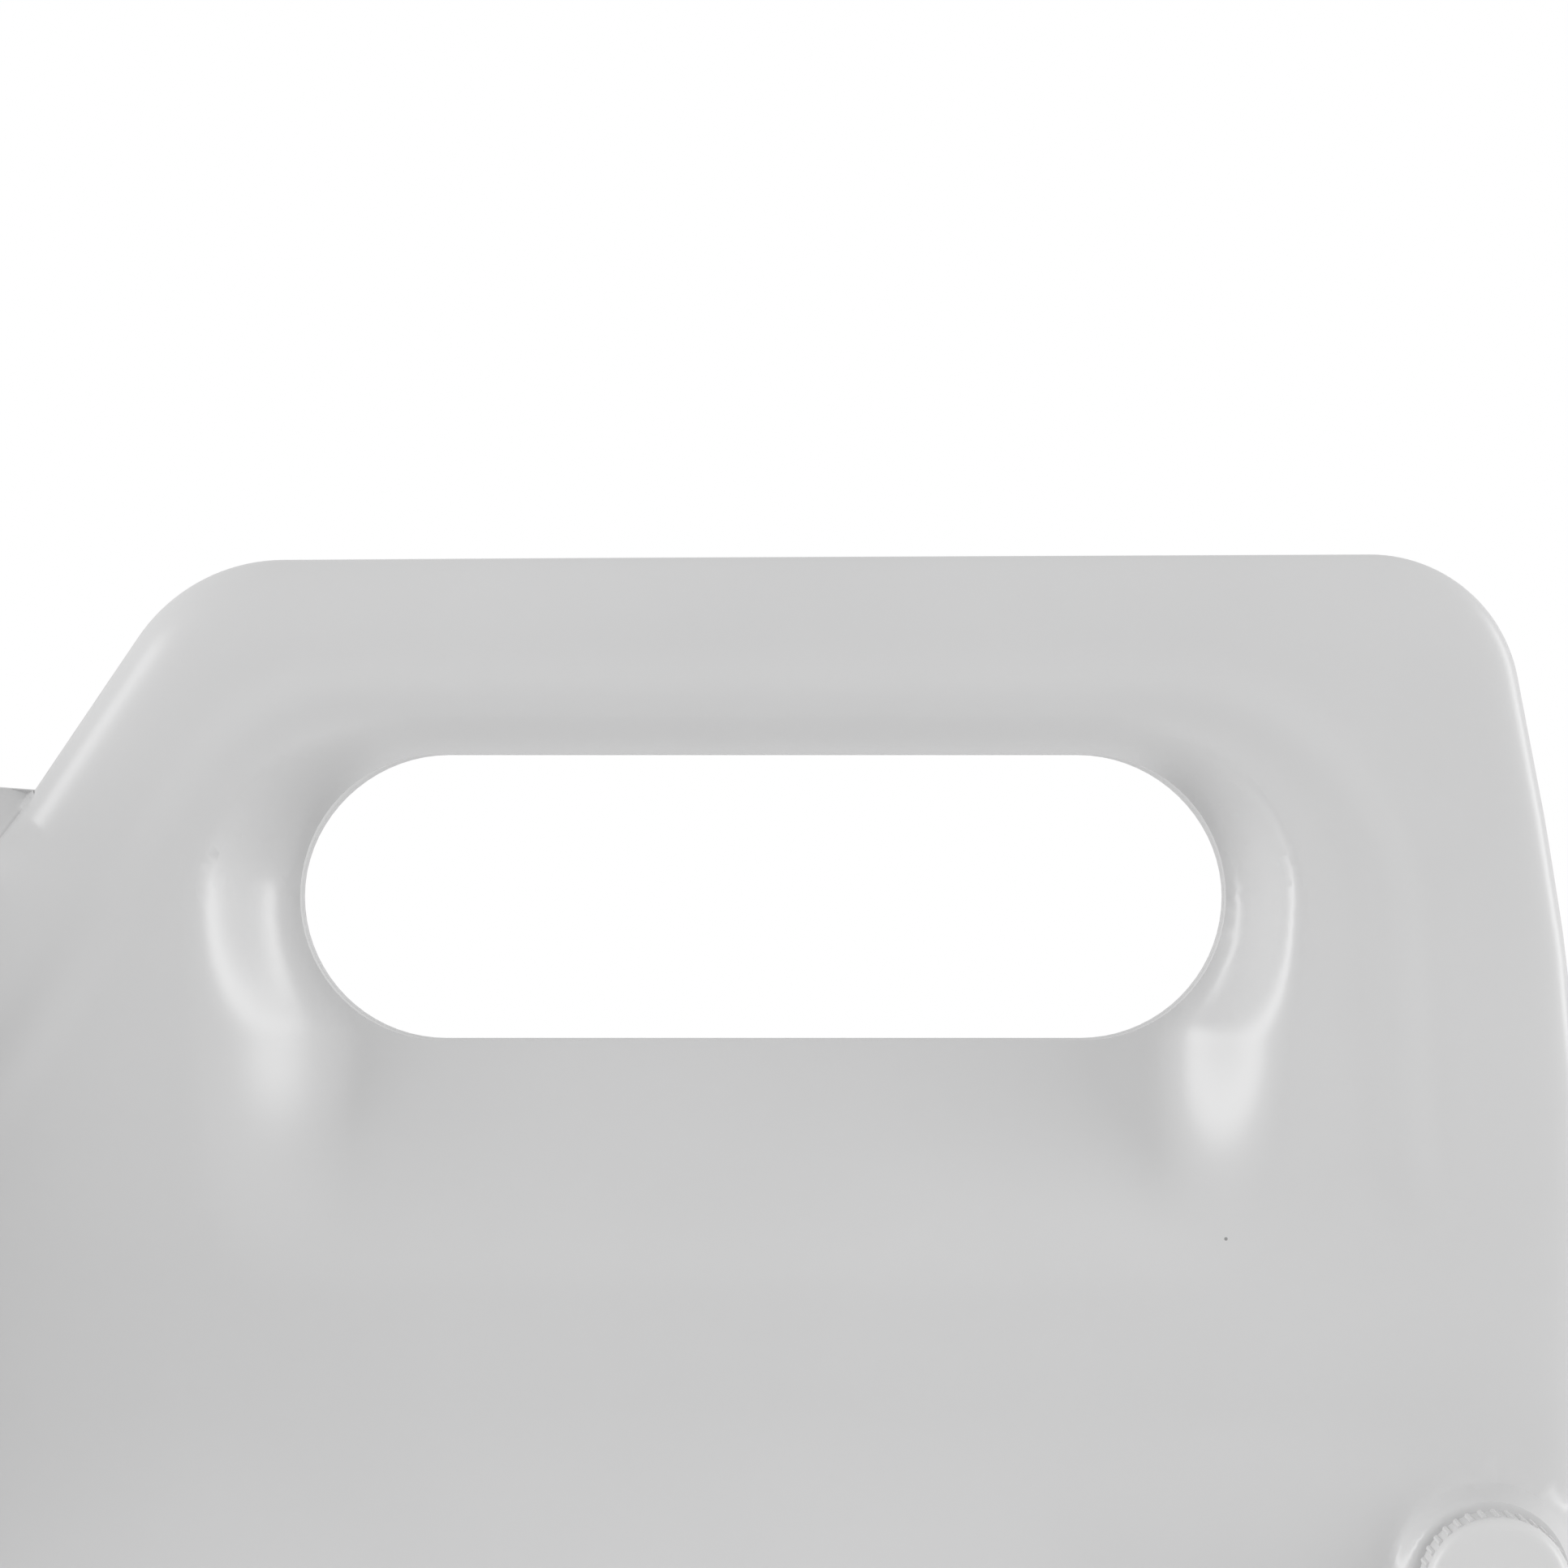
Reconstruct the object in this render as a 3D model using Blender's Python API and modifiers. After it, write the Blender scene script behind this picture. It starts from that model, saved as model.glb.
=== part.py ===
"""Closed oil drain pan, standing on its base with the carrying handle at the top right.

Metres, +Z up. The catch basin is on the front, facing -Y, and the flat side is at +Y. The origin is under the
middle of the tank. The tank is blow moulded in two halves that meet at the parting plane y = 0.
"""

import math

import bmesh
import bpy
import numpy as np
from mathutils.geometry import delaunay_2d_cdt, intersect_point_line

# --- tank, seen from the front ---
WIDTH = 0.345
HEIGHT = 0.455
HALF_WIDTH = WIDTH / 2
WALL = 0.003
SEAM_GAP = 0.0003
BASE_CORNER = 0.040
SHOULDER_Z = 0.428
SHOULDER_CORNER = 0.030
SHOULDER_DIP = 0.0022  # the shoulder falls this much towards the handle
HANDLE_TILT = 0.0007  # the grip's top edge falls this much from right to left
HANDLE_LEFT_TOP = (HALF_WIDTH - 0.17205, HEIGHT - HANDLE_TILT)
HANDLE_LEFT_FOOT = (HALF_WIDTH - 0.1913, SHOULDER_Z - SHOULDER_DIP)
HANDLE_RIGHT_TOP = (HALF_WIDTH - 0.01086, HEIGHT)
HANDLE_RIGHT_FOOT = (HALF_WIDTH, HEIGHT - 0.0564)
HANDLE_LEFT_CORNER = 0.0218
HANDLE_RIGHT_CORNER = 0.0185
FLANK_BLEND = 0.258

# --- tank, in depth from the parting plane ---
HANDLE_DEPTH = 0.0165
BODY_DEPTH = 0.048
SWELL_TOP = 0.350
SWELL_FOOT = 0.267
HANDLE_EDGE = 0.012  # width of the rounded edge on the thin handle
BODY_EDGE = 0.020
HANDLE_SIDE = 0.16  # share of the depth that is straight side wall
BODY_SIDE = 0.66
SPOUT_SWELL = 0.9

# --- hand hole and the finger scoop round it ---
HOLE_LENGTH = 0.115
HOLE_RADIUS = 0.01775
HOLE_CENTRE = (0.0714, 0.4125)
WEB = 0.002
SCOOP_LEFT = 0.0312
SCOOP_RIGHT = 0.0265
SCOOP_TOP = 0.0208
SCOOP_FOOT = 0.037
SCOOP_BASE = 0.013

# --- catch basin ---
BASIN_Z = 0.144
BASIN_HALF = (0.146, 0.118)  # inner edge of the lip's crest
BASIN_CORNER = 0.045
LIP_DEPTH = 0.054
BASIN_RIM = 0.005  # how far the basin's rim reaches beyond the crest's inner edge
# how far each line round the basin lies inside the crest's inner edge, and its depth
BASIN_LINES = ((-BASIN_RIM, BODY_DEPTH), (-0.0025, LIP_DEPTH), (0.0, LIP_DEPTH), (0.0015, 0.046),
               (0.0090, 0.020), (0.0160, 0.015))
SUMP_RADIUS = 0.030
SUMP_DEPTH = 0.010
SUMP_RIM_DEPTH = 0.0125

# --- flat panel in the back, and its moulded feet ---
PANEL_HALF = (0.1515, 0.123)
PANEL_CORNER = 0.022
FOOT_X = 0.115
FOOT_Z = (0.050, 0.235)
FOOT_RADIUS = 0.016

# --- pour spout, on the shoulder ---
SPOUT_X = -0.105
SPOUT_BORE = 0.0165
SPOUT_NECK = 0.0190
SPOUT_FLANGE = 0.0240
SPOUT_CAP = 0.0245
SPOUT_CAP_TOP = 0.4535

# --- vent, at the front's right edge ---
VENT_X = 0.1605
VENT_Z = 0.3288
VENT_SEAT = 0.0225  # depth of the seat
VENT_NECK = 0.0050
VENT_CAP = 0.0093
VENT_CAP_FRONT = 0.0375

# --- drain fitting, in the middle of the basin ---
DRAIN_BORE = 0.0100
DRAIN_TUBE = 0.0122
DRAIN_FLANGE = 0.0210
DRAIN_PLUG = 0.0170

GAP = 0.0003
ROUND_STEPS = 40

parts = bpy.data.collections.new("oil_drain_pan")
helpers = bpy.data.collections.new("cutters")


# --- scene and materials ---

def clear_scene():
    for obj in list(bpy.data.objects):
        bpy.data.objects.remove(obj, do_unlink=True)
    for collection in (parts, helpers):
        bpy.context.scene.collection.children.link(collection)


def plastic(name, colour, roughness):
    material = bpy.data.materials.new(name)
    material.use_nodes = True
    shader = material.node_tree.nodes["Principled BSDF"]
    shader.inputs["Base Color"].default_value = (*colour, 1.0)
    shader.inputs["Roughness"].default_value = roughness
    shader.inputs["Metallic"].default_value = 0.0
    return material


def add_object(name, data, collection=parts):
    obj = bpy.data.objects.new(name, data)
    collection.objects.link(obj)
    return obj


def finish(obj, material):
    """Gives the piece its material and smooths its round faces."""
    obj.data.materials.append(material)
    if obj.type == "MESH":
        obj.data.shade_smooth()
        obj.data.set_sharp_from_angle(angle=math.radians(35))
    return obj


# --- outlines, as (point, inward normal) in the front view's X and Z ---

def rounded_outline(corners, turn_step):
    """Walks an anticlockwise polygon of (x, z, radius) corners, with each corner an arc."""
    places = np.array([corner[:2] for corner in corners])
    points, normals = [], []
    for i, (_, _, radius) in enumerate(corners):
        arriving = places[i] - places[i - 1]
        leaving = places[(i + 1) % len(places)] - places[i]
        start = math.atan2(arriving[1], arriving[0])
        turn = math.remainder(math.atan2(leaving[1], leaving[0]) - start, math.tau)
        tangent = radius * math.tan(abs(turn) / 2)
        side = math.copysign(1.0, turn)
        first = places[i] - tangent * arriving / np.linalg.norm(arriving)
        centre = first + side * radius * np.array([-math.sin(start), math.cos(start)])
        steps = max(2, math.ceil(abs(turn) / turn_step))
        for k in range(steps + 1):
            angle = start + turn * k / steps
            inward = np.array([-math.sin(angle), math.cos(angle)])
            points.append(centre - side * radius * inward)
            normals.append(inward)
    return np.array(points), np.array(normals)


def split_runs(points, normals, limit):
    """Adds points along the straight runs wherever the tank's depth changes along them."""
    out_points, out_normals = [], []
    for i, point in enumerate(points):
        following = points[(i + 1) % len(points)]
        length = np.linalg.norm(following - point)
        swings = [swell(*(point + (following - point) * s)) for s in np.linspace(0, 1, 9)]
        pieces = max(1, math.ceil(length / limit)) if np.ptp(swings) > 0.02 else 1
        for k in range(pieces):
            out_points.append(point + (following - point) * k / pieces)
            out_normals.append(normals[i])
    return np.array(out_points), np.array(out_normals)


def tank_outline():
    left_foot_x, left_foot_z = HANDLE_LEFT_FOOT
    corners = [
        (-HALF_WIDTH, 0.0, BASE_CORNER),
        (HALF_WIDTH, 0.0, BASE_CORNER),
        (*HANDLE_RIGHT_FOOT, FLANK_BLEND),
        (*HANDLE_RIGHT_TOP, HANDLE_RIGHT_CORNER),
        (*HANDLE_LEFT_TOP, HANDLE_LEFT_CORNER),
        (left_foot_x, left_foot_z, 0.001),
        (left_foot_x - 0.030, SHOULDER_Z, 0.020),
        (-HALF_WIDTH, SHOULDER_Z, SHOULDER_CORNER),
    ]
    points, normals = rounded_outline(corners, math.radians(15))
    return split_runs(points, normals, 0.021)


def rounded_box(centre_z, half_x, half_z, radius, steps=6):
    corners = [(-half_x, -half_z), (half_x, -half_z), (half_x, half_z), (-half_x, half_z)]
    corners = [(x, centre_z + z, radius) for x, z in corners]
    return rounded_outline(corners, math.pi / 2 / steps)[0]


def circle(x, z, radius, steps=20):
    angles = np.linspace(0, math.tau, steps, endpoint=False)
    return np.column_stack([x + radius * np.cos(angles), z + radius * np.sin(angles)])


def hand_hole(steps=9):
    x, z = HOLE_CENTRE
    straight = HOLE_LENGTH / 2 - HOLE_RADIUS
    right = np.linspace(-math.pi / 2, math.pi / 2, steps + 1)
    left = right + math.pi
    ends = [(x + straight, a) for a in right] + [(x - straight, a) for a in left]
    ring = [(cx + HOLE_RADIUS * math.cos(a), z + HOLE_RADIUS * math.sin(a)) for cx, a in ends]
    return np.array(ring)


# --- depth of the tank's skin from the parting plane ---

def smooth(share):
    share = min(max(share, 0.0), 1.0)
    return share * share * (3 - 2 * share)


def swell(x, z):
    """0 on the thin handle, 1 on the full body, and nearly 1 under the spout."""
    body = smooth((SWELL_TOP - z) / (SWELL_TOP - SWELL_FOOT))
    spout = smooth((x + 0.168) / 0.036) * smooth((-0.045 - x) / 0.034)
    return 1 - (1 - body) * (1 - SPOUT_SWELL * spout)


def blend(low, high, share):
    return low + (high - low) * share


def plateau(x, z):
    return blend(HANDLE_DEPTH, BODY_DEPTH, swell(x, z))


def scooped(x, z):
    """Depth round the hand hole: thin at the hole, rising to the handle's face at the scoop's edge."""
    hole_x, hole_z = HOLE_CENTRE
    straight = HOLE_LENGTH / 2 - HOLE_RADIUS
    beyond = abs(x - hole_x) - straight
    reach = SCOOP_LEFT if x < hole_x else SCOOP_RIGHT
    full = plateau(x, z)
    if z >= hole_z:
        out = max(beyond, 0.0)
        distance = math.hypot(out, z - hole_z)
        angle = math.atan2(z - hole_z, out)
        edge = 1 / math.hypot(math.cos(angle) / reach, math.sin(angle) / SCOOP_TOP)
        return blend(WEB, full, smooth((distance - HOLE_RADIUS) / (edge - HOLE_RADIUS)))
    drop = hole_z - z
    base = max(SCOOP_BASE, math.sqrt(max(HOLE_RADIUS**2 - drop**2, 0.0)))
    side = smooth((beyond - base) / (reach - base))
    ramp = smooth((drop - HOLE_RADIUS) / SCOOP_FOOT)
    return blend(WEB, full, 1 - (1 - side) * (1 - ramp))


def edge_rings(points, normals, inset, depth_off, turns):
    """Rings round the tank's edge. Each is a quarter-round step further in and further out."""
    rings = []
    for turn in turns:
        ring = []
        for point, inward in zip(points, normals):
            share = swell(*point)
            width = blend(HANDLE_EDGE, BODY_EDGE, share)
            side = blend(HANDLE_SIDE, BODY_SIDE, share)
            x, z = point + inward * (inset + (width - inset) * (1 - math.cos(turn)))
            rise = side + (1 - side) * math.sin(turn)
            ring.append((x, z, max(plateau(x, z) - depth_off, SEAM_GAP) * rise))
        rings.append(ring)
    return rings


def ring_at(outline, depth):
    return [(x, z, depth) for x, z in outline]


def near_outline(x, z, points, distance):
    here = np.array([x, z])
    for a, b in zip(points, np.roll(points, -1, axis=0)):
        close, share = intersect_point_line(here.tolist(), a.tolist(), b.tolist())
        close = np.array(close)[:2] if 0 <= share <= 1 else (a if share < 0 else b)
        if np.linalg.norm(close - here) < distance:
            return True
    return False


def inside(x, z, ring):
    """Even-odd test of a point against a closed ring of (x, z, ...) points."""
    found = False
    for a, b in zip(ring, ring[1:] + ring[:1]):
        if (a[1] > z) != (b[1] > z) and x < a[0] + (z - a[1]) * (b[0] - a[0]) / (b[1] - a[1]):
            found = not found
    return found


def swell_points(points, spacing_x, rows):
    """Points across the swell between the thin handle and the full body, and under the spout."""
    found = []
    for z in np.linspace(SWELL_FOOT + 0.002, SWELL_TOP, rows):
        for x in np.arange(-0.144, 0.146, spacing_x):
            found.append((x, z, plateau(x, z)))
    for z in (0.368, 0.386, 0.400):
        for x in np.arange(-0.150, -0.030, 0.015):
            found.append((x, z, plateau(x, z)))
    return [p for p in found if not near_outline(p[0], p[1], points, 0.024)]


def scoop_rings(depth_off):
    """Rings round the upper part of the hand hole, and rows down the scoop's ramp."""
    hole_x, hole_z = HOLE_CENTRE
    straight = HOLE_LENGTH / 2 - HOLE_RADIUS
    found = []
    for share in (0.3, 0.65, 1.0):
        for angle in np.linspace(0, math.pi, 13):
            reach = SCOOP_RIGHT if angle < math.pi / 2 else SCOOP_LEFT
            edge = 1 / math.hypot(math.cos(angle) / reach, math.sin(angle) / SCOOP_TOP)
            radius = blend(HOLE_RADIUS, edge, share)
            centre = hole_x + math.copysign(straight, math.cos(angle))
            found.append((centre + radius * math.cos(angle), hole_z + radius * math.sin(angle)))
        found.append((hole_x, hole_z + blend(HOLE_RADIUS, SCOOP_TOP, share)))
    for drop in (0.009, 0.019, 0.027, 0.036, 0.045, 0.0545):
        for out in (0.4, 0.6, 0.8, 1.0):
            base = max(SCOOP_BASE, math.sqrt(max(HOLE_RADIUS**2 - drop**2, 0.0)))
            for way, reach in ((-1, SCOOP_LEFT), (1, SCOOP_RIGHT)):
                found.append((hole_x + way * (straight + blend(base, reach, out)), hole_z - drop))
        if drop > HOLE_RADIUS:
            found += [(x, hole_z - drop) for x in np.linspace(hole_x - 0.045, hole_x + 0.045, 7)]
    return [(x, z, max(scooped(x, z) - depth_off, SEAM_GAP / 2)) for x, z in found]


# --- the tank's halves ---

def add_skin(bm, rings, runs, points, holes, way):
    """Triangulates a skin over its outline, through closed rings, open runs and points, and round holes."""
    flat = [point for line in rings + runs for point in line] + points
    edges, start = [], 0
    for line in rings:
        edges += [(start + i, start + (i + 1) % len(line)) for i in range(len(line))]
        start += len(line)
    for line in runs:
        edges += [(start + i, start + i + 1) for i in range(len(line) - 1)]
        start += len(line)
    found = delaunay_2d_cdt([(x, z) for x, z, _ in flat], edges, [], 0, 1e-6)
    places, _, faces, sources = found[0], found[1], found[2], found[3]
    depths = [flat[source[0]][2] if source else 0.0 for source in sources]
    verts = [bm.verts.new((p[0], way * d, p[1])) for p, d in zip(places, depths)]
    for face in faces:
        x, z = (sum(places[i][axis] for i in face) / len(face) for axis in (0, 1))
        if inside(x, z, rings[0]) and not any(inside(x, z, hole) for hole in holes):
            bm.faces.new([verts[i] for i in face])
    loose = [vert for vert in verts if not vert.link_faces]
    bmesh.ops.delete(bm, geom=loose, context="VERTS")


def add_band(bm, first, second, way):
    """Joins two rings of equal length with a band of faces."""
    rows = [[bm.verts.new((x, way * d, z)) for x, z, d in ring] for ring in (first, second)]
    for i in range(len(first)):
        j = (i + 1) % len(first)
        bm.faces.new([rows[0][i], rows[0][j], rows[1][j], rows[1][i]])


def basin_box(inset):
    half_x, half_z = BASIN_HALF
    return rounded_box(BASIN_Z, half_x - inset, half_z - inset, BASIN_CORNER - inset)


def panel_box(grow):
    half_x, half_z = PANEL_HALF
    return rounded_box(BASIN_Z, half_x + grow, half_z + grow, PANEL_CORNER + grow)


def basin_rings():
    rings = [ring_at(basin_box(inset), depth) for inset, depth in BASIN_LINES]
    rings.append(ring_at(circle(0, BASIN_Z, SUMP_RADIUS), SUMP_RIM_DEPTH))
    rings.append(ring_at(circle(0, BASIN_Z, SUMP_RADIUS - 0.003), SUMP_DEPTH))
    return rings


def basin_inner_rings():
    """The basin seen from inside the tank: a wall's thickness further out, with no lip."""
    lines = ((BASIN_LINES[3][0], BODY_DEPTH), *BASIN_LINES[4:])
    rings = [ring_at(basin_box(-BASIN_RIM), BODY_DEPTH - WALL)]
    rings += [ring_at(basin_box(inset - WALL), depth - WALL) for inset, depth in lines]
    rings.append(ring_at(circle(0, BASIN_Z, SUMP_RADIUS + 0.002), SUMP_RIM_DEPTH - WALL))
    rings.append(ring_at(circle(0, BASIN_Z, SUMP_RADIUS - 0.001), SUMP_DEPTH - WALL))
    return rings


def vent_rings():
    return [
        ring_at(circle(VENT_X, VENT_Z, VENT_CAP + 0.0011), VENT_SEAT - 0.0045),
        ring_at(circle(VENT_X, VENT_Z, VENT_CAP), VENT_SEAT),
    ]


def foot_rings():
    rings = []
    for x in (-FOOT_X, FOOT_X):
        for z in FOOT_Z:
            rings.append(ring_at(circle(x, z, FOOT_RADIUS), BODY_DEPTH))
            rings.append(ring_at(circle(x, z, FOOT_RADIUS - 0.003), LIP_DEPTH))
    return rings


def tank_half(name, way, opening, vent=()):
    """One moulded half.

    way is -1 for the front and 1 for the back. opening is the outline of the opening in its face, and vent
    holds the rings of the vent's seat, the outer one first.
    """
    points, normals = tank_outline()
    hole = hand_hole()
    hole_edge = [(x, z, max(scooped(x, z), WEB)) for x, z in hole]
    seam = ring_at(points, SEAM_GAP / 2)
    inner_seam = ring_at(points + normals * WALL, SEAM_GAP / 2)
    inner_hole = ring_at(hole, SEAM_GAP / 2)
    quarter = math.pi / 2
    outer_edge = edge_rings(points, normals, 0.0, 0.0, (0.0, quarter * 0.34, quarter * 0.67, quarter))
    inner_edge = edge_rings(points, normals, WALL, WALL, (0.0, quarter * 0.5, quarter))
    mouth, inner_mouth = ring_at(opening, BODY_DEPTH), ring_at(opening, BODY_DEPTH - WALL)
    # a point inside the opening or the seat is dropped
    swelling = [p for p in swell_points(points, 0.024, 5) if not in_any(p, [mouth, *vent])]
    inner_swelling = [(x, z, d - WALL) for x, z, d in swelling]

    bm = bmesh.new()
    runs = [clear_of_seat(ring, vent[0]) if vent else closed_run(ring) for ring in outer_edge[1:]]
    rings = [outer_edge[0], hole_edge, mouth, *vent]
    inner_rings = [*inner_edge, inner_hole, inner_mouth]
    add_skin(bm, rings, runs, swelling + scoop_rings(0.0), [hole_edge, mouth], way)
    add_skin(bm, inner_rings, [], inner_swelling + scoop_rings(WALL), [inner_hole, inner_mouth], way)
    for first, second in ((seam, outer_edge[0]), (inner_seam, inner_edge[0]), (seam, inner_seam),
                          (hole_edge, inner_hole), (mouth, inner_mouth)):
        add_band(bm, first, second, way)
    return closed_object(name, bm)


def tray(name, way, outer, inner):
    """A piece that closes a half's opening: the lipped basin, or the back's flat panel with its feet."""
    bm = bmesh.new()
    add_skin(bm, outer, [], [], [], way)
    add_skin(bm, inner, [], [], [], way)
    add_band(bm, outer[0], inner[0], way)
    return closed_object(name, bm)


def closed_object(name, bm):
    bmesh.ops.remove_doubles(bm, verts=bm.verts, dist=2e-6)
    bmesh.ops.recalc_face_normals(bm, faces=bm.faces)
    mesh = bpy.data.meshes.new(name)
    bm.to_mesh(mesh)
    bm.free()
    return add_object(name, mesh)


def in_any(point, rings):
    return any(inside(point[0], point[1], ring) for ring in rings)


def closed_run(ring):
    return ring + ring[:1]


def clear_of_seat(ring, seat):
    """Opens a ring where it crosses the vent's seat, and leaves out its points there."""
    kept = [not inside(p[0], p[1], seat) for p in ring]
    if all(kept):
        return closed_run(ring)
    start = next(i for i in range(len(ring)) if kept[i] and not kept[i - 1])
    turned_round = ring[start:] + ring[:start]
    return [p for p in turned_round if not inside(p[0], p[1], seat)]


# --- turned and flat pieces ---

def turned(name, profile, collection=parts, steps=ROUND_STEPS):
    """A profile of (radius, height) turned about Z. It runs down its outer side."""
    mesh = bpy.data.meshes.new(name)
    closed = min(radius for radius, _ in profile) > 0
    edges = [(i, i + 1) for i in range(len(profile) - 1)]
    if closed:
        edges.append((len(profile) - 1, 0))
    mesh.from_pydata([(radius, 0, height) for radius, height in profile], edges, [])
    obj = add_object(name, mesh, collection)
    modifier = obj.modifiers.new("turn", "SCREW")
    modifier.steps = steps
    modifier.render_steps = steps
    modifier.use_merge_vertices = True
    modifier.merge_threshold = 1e-5
    return obj


def facing_front(obj, x, z):
    """Turns a piece made along +Z to point out of the front, towards -Y."""
    obj.location = (x, 0, z)
    obj.rotation_euler = (math.pi / 2, 0, 0)
    return obj


def tube(name, inner, outer, low, high, steps=ROUND_STEPS):
    return turned(name, [(outer, high), (outer, low), (inner, low), (inner, high)], parts, steps)


def cutter(name, radius, low, high):
    obj = turned(name, [(0, high), (radius, high), (radius, low), (0, low)], helpers)
    obj.hide_render = True
    obj.display_type = "WIRE"
    return obj


def cut(obj, tool):
    modifier = obj.modifiers.new("cut " + tool.name, "BOOLEAN")
    modifier.operation = "DIFFERENCE"
    modifier.object = tool


def flat_plate(name, outlines, thickness):
    """A plate from closed outlines, where the inner ones are holes."""
    curve = bpy.data.curves.new(name, "CURVE")
    curve.dimensions = "2D"
    curve.fill_mode = "BOTH"
    curve.extrude = thickness / 2
    for outline in outlines:
        spline = curve.splines.new("POLY")
        spline.points.add(len(outline) - 1)
        for point, (x, y) in zip(spline.points, outline):
            point.co = (x, y, 0, 1)
        spline.use_cyclic_u = True
    return add_object(name, curve)


# --- assemblies ---

def make_tank(material):
    front = tank_half("front_shell", -1, basin_box(-BASIN_RIM - GAP), vent_rings())
    back = tank_half("back_shell", 1, panel_box(GAP))
    basin = tray("catch_basin", -1, basin_rings(), basin_inner_rings())
    face, inner_face = (ring_at(panel_box(0.0), depth) for depth in (BODY_DEPTH, BODY_DEPTH - WALL))
    panel = tray("back_panel", 1, [face, *foot_rings()], [inner_face])
    spout_hole = cutter("spout_hole", SPOUT_NECK + GAP, SHOULDER_Z - 0.02, SHOULDER_Z + 0.01)
    spout_hole.location = (SPOUT_X, 0, 0)
    drain_hole = facing_front(cutter("drain_hole", DRAIN_TUBE + GAP, 0.002, 0.020), 0, BASIN_Z)
    vent_hole = facing_front(cutter("vent_hole", VENT_NECK + GAP, 0.008, 0.030), VENT_X, VENT_Z)
    for piece, tool in ((front, spout_hole), (front, vent_hole), (back, spout_hole), (basin, drain_hole)):
        cut(piece, tool)
    for piece in (front, back, basin, panel):
        finish(piece, material)


def make_spout(neck_material, cap_material, seal_material):
    foot = SHOULDER_Z + GAP
    rim = 0.4480
    thread = 0.0012
    neck = turned("spout_neck", [
        (SPOUT_NECK, rim),
        (SPOUT_NECK, rim - 0.003),
        (SPOUT_NECK + thread, rim - 0.004),
        (SPOUT_NECK + thread, rim - 0.006),
        (SPOUT_NECK, rim - 0.007),
        (SPOUT_NECK, rim - 0.009),
        (SPOUT_NECK + thread, rim - 0.010),
        (SPOUT_NECK + thread, rim - 0.012),
        (SPOUT_NECK, rim - 0.013),
        (SPOUT_NECK, foot + 0.0025),
        (SPOUT_FLANGE, foot + 0.0025),
        (SPOUT_FLANGE, foot),
        (SPOUT_NECK, foot),
        (SPOUT_NECK, foot - 0.012),
        (SPOUT_BORE, foot - 0.012),
        (SPOUT_BORE, rim),
    ])
    bore = SPOUT_NECK + thread + 0.0008
    skirt = foot + 0.0025 + 0.001
    seal_top = rim + GAP + 0.002
    cap = turned("spout_cap", [
        (0, SPOUT_CAP_TOP),
        (SPOUT_CAP - 0.002, SPOUT_CAP_TOP),
        (SPOUT_CAP, SPOUT_CAP_TOP - 0.002),
        (SPOUT_CAP, skirt),
        (bore, skirt),
        (bore, seal_top + GAP),
        (0, seal_top + GAP),
    ])
    seal = turned("spout_cap_seal", [
        (0, seal_top), (bore - 0.0005, seal_top), (bore - 0.0005, rim + GAP), (0, rim + GAP),
    ])
    for obj, material in ((neck, neck_material), (cap, cap_material), (seal, seal_material)):
        obj.location = (SPOUT_X, 0, 0)
        finish(obj, material)


def make_vent(neck_material, cap_material, seal_material):
    foot = VENT_SEAT + GAP
    rim = VENT_CAP_FRONT - 0.0039
    neck = turned("vent_neck", [
        (VENT_NECK, rim),
        (VENT_NECK, foot + 0.0018),
        (VENT_CAP - 0.001, foot + 0.0018),
        (VENT_CAP - 0.001, foot),
        (VENT_NECK, foot),
        (VENT_NECK, foot - 0.008),
        (VENT_NECK - 0.0016, foot - 0.008),
        (VENT_NECK - 0.0016, rim),
    ], steps=28)
    bore = VENT_NECK + 0.0012
    cap = turned("vent_cap", [
        (0, VENT_CAP_FRONT),
        (VENT_CAP - 0.001, VENT_CAP_FRONT),
        (VENT_CAP, VENT_CAP_FRONT - 0.001),
        (VENT_CAP, foot + 0.0026),
        (bore, foot + 0.0026),
        (bore, VENT_CAP_FRONT - 0.0018),
        (0, VENT_CAP_FRONT - 0.0018),
    ], steps=32)
    seal_foot, seal_top, seal_edge = rim + GAP, rim + GAP + 0.0015, bore - 0.0004
    seal = turned("vent_cap_seal", [
        (0, seal_top), (seal_edge, seal_top), (seal_edge, seal_foot), (0, seal_foot),
    ], steps=28)
    for obj, material in ((neck, neck_material), (cap, cap_material), (seal, seal_material)):
        finish(facing_front(obj, VENT_X, VENT_Z), material)


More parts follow.
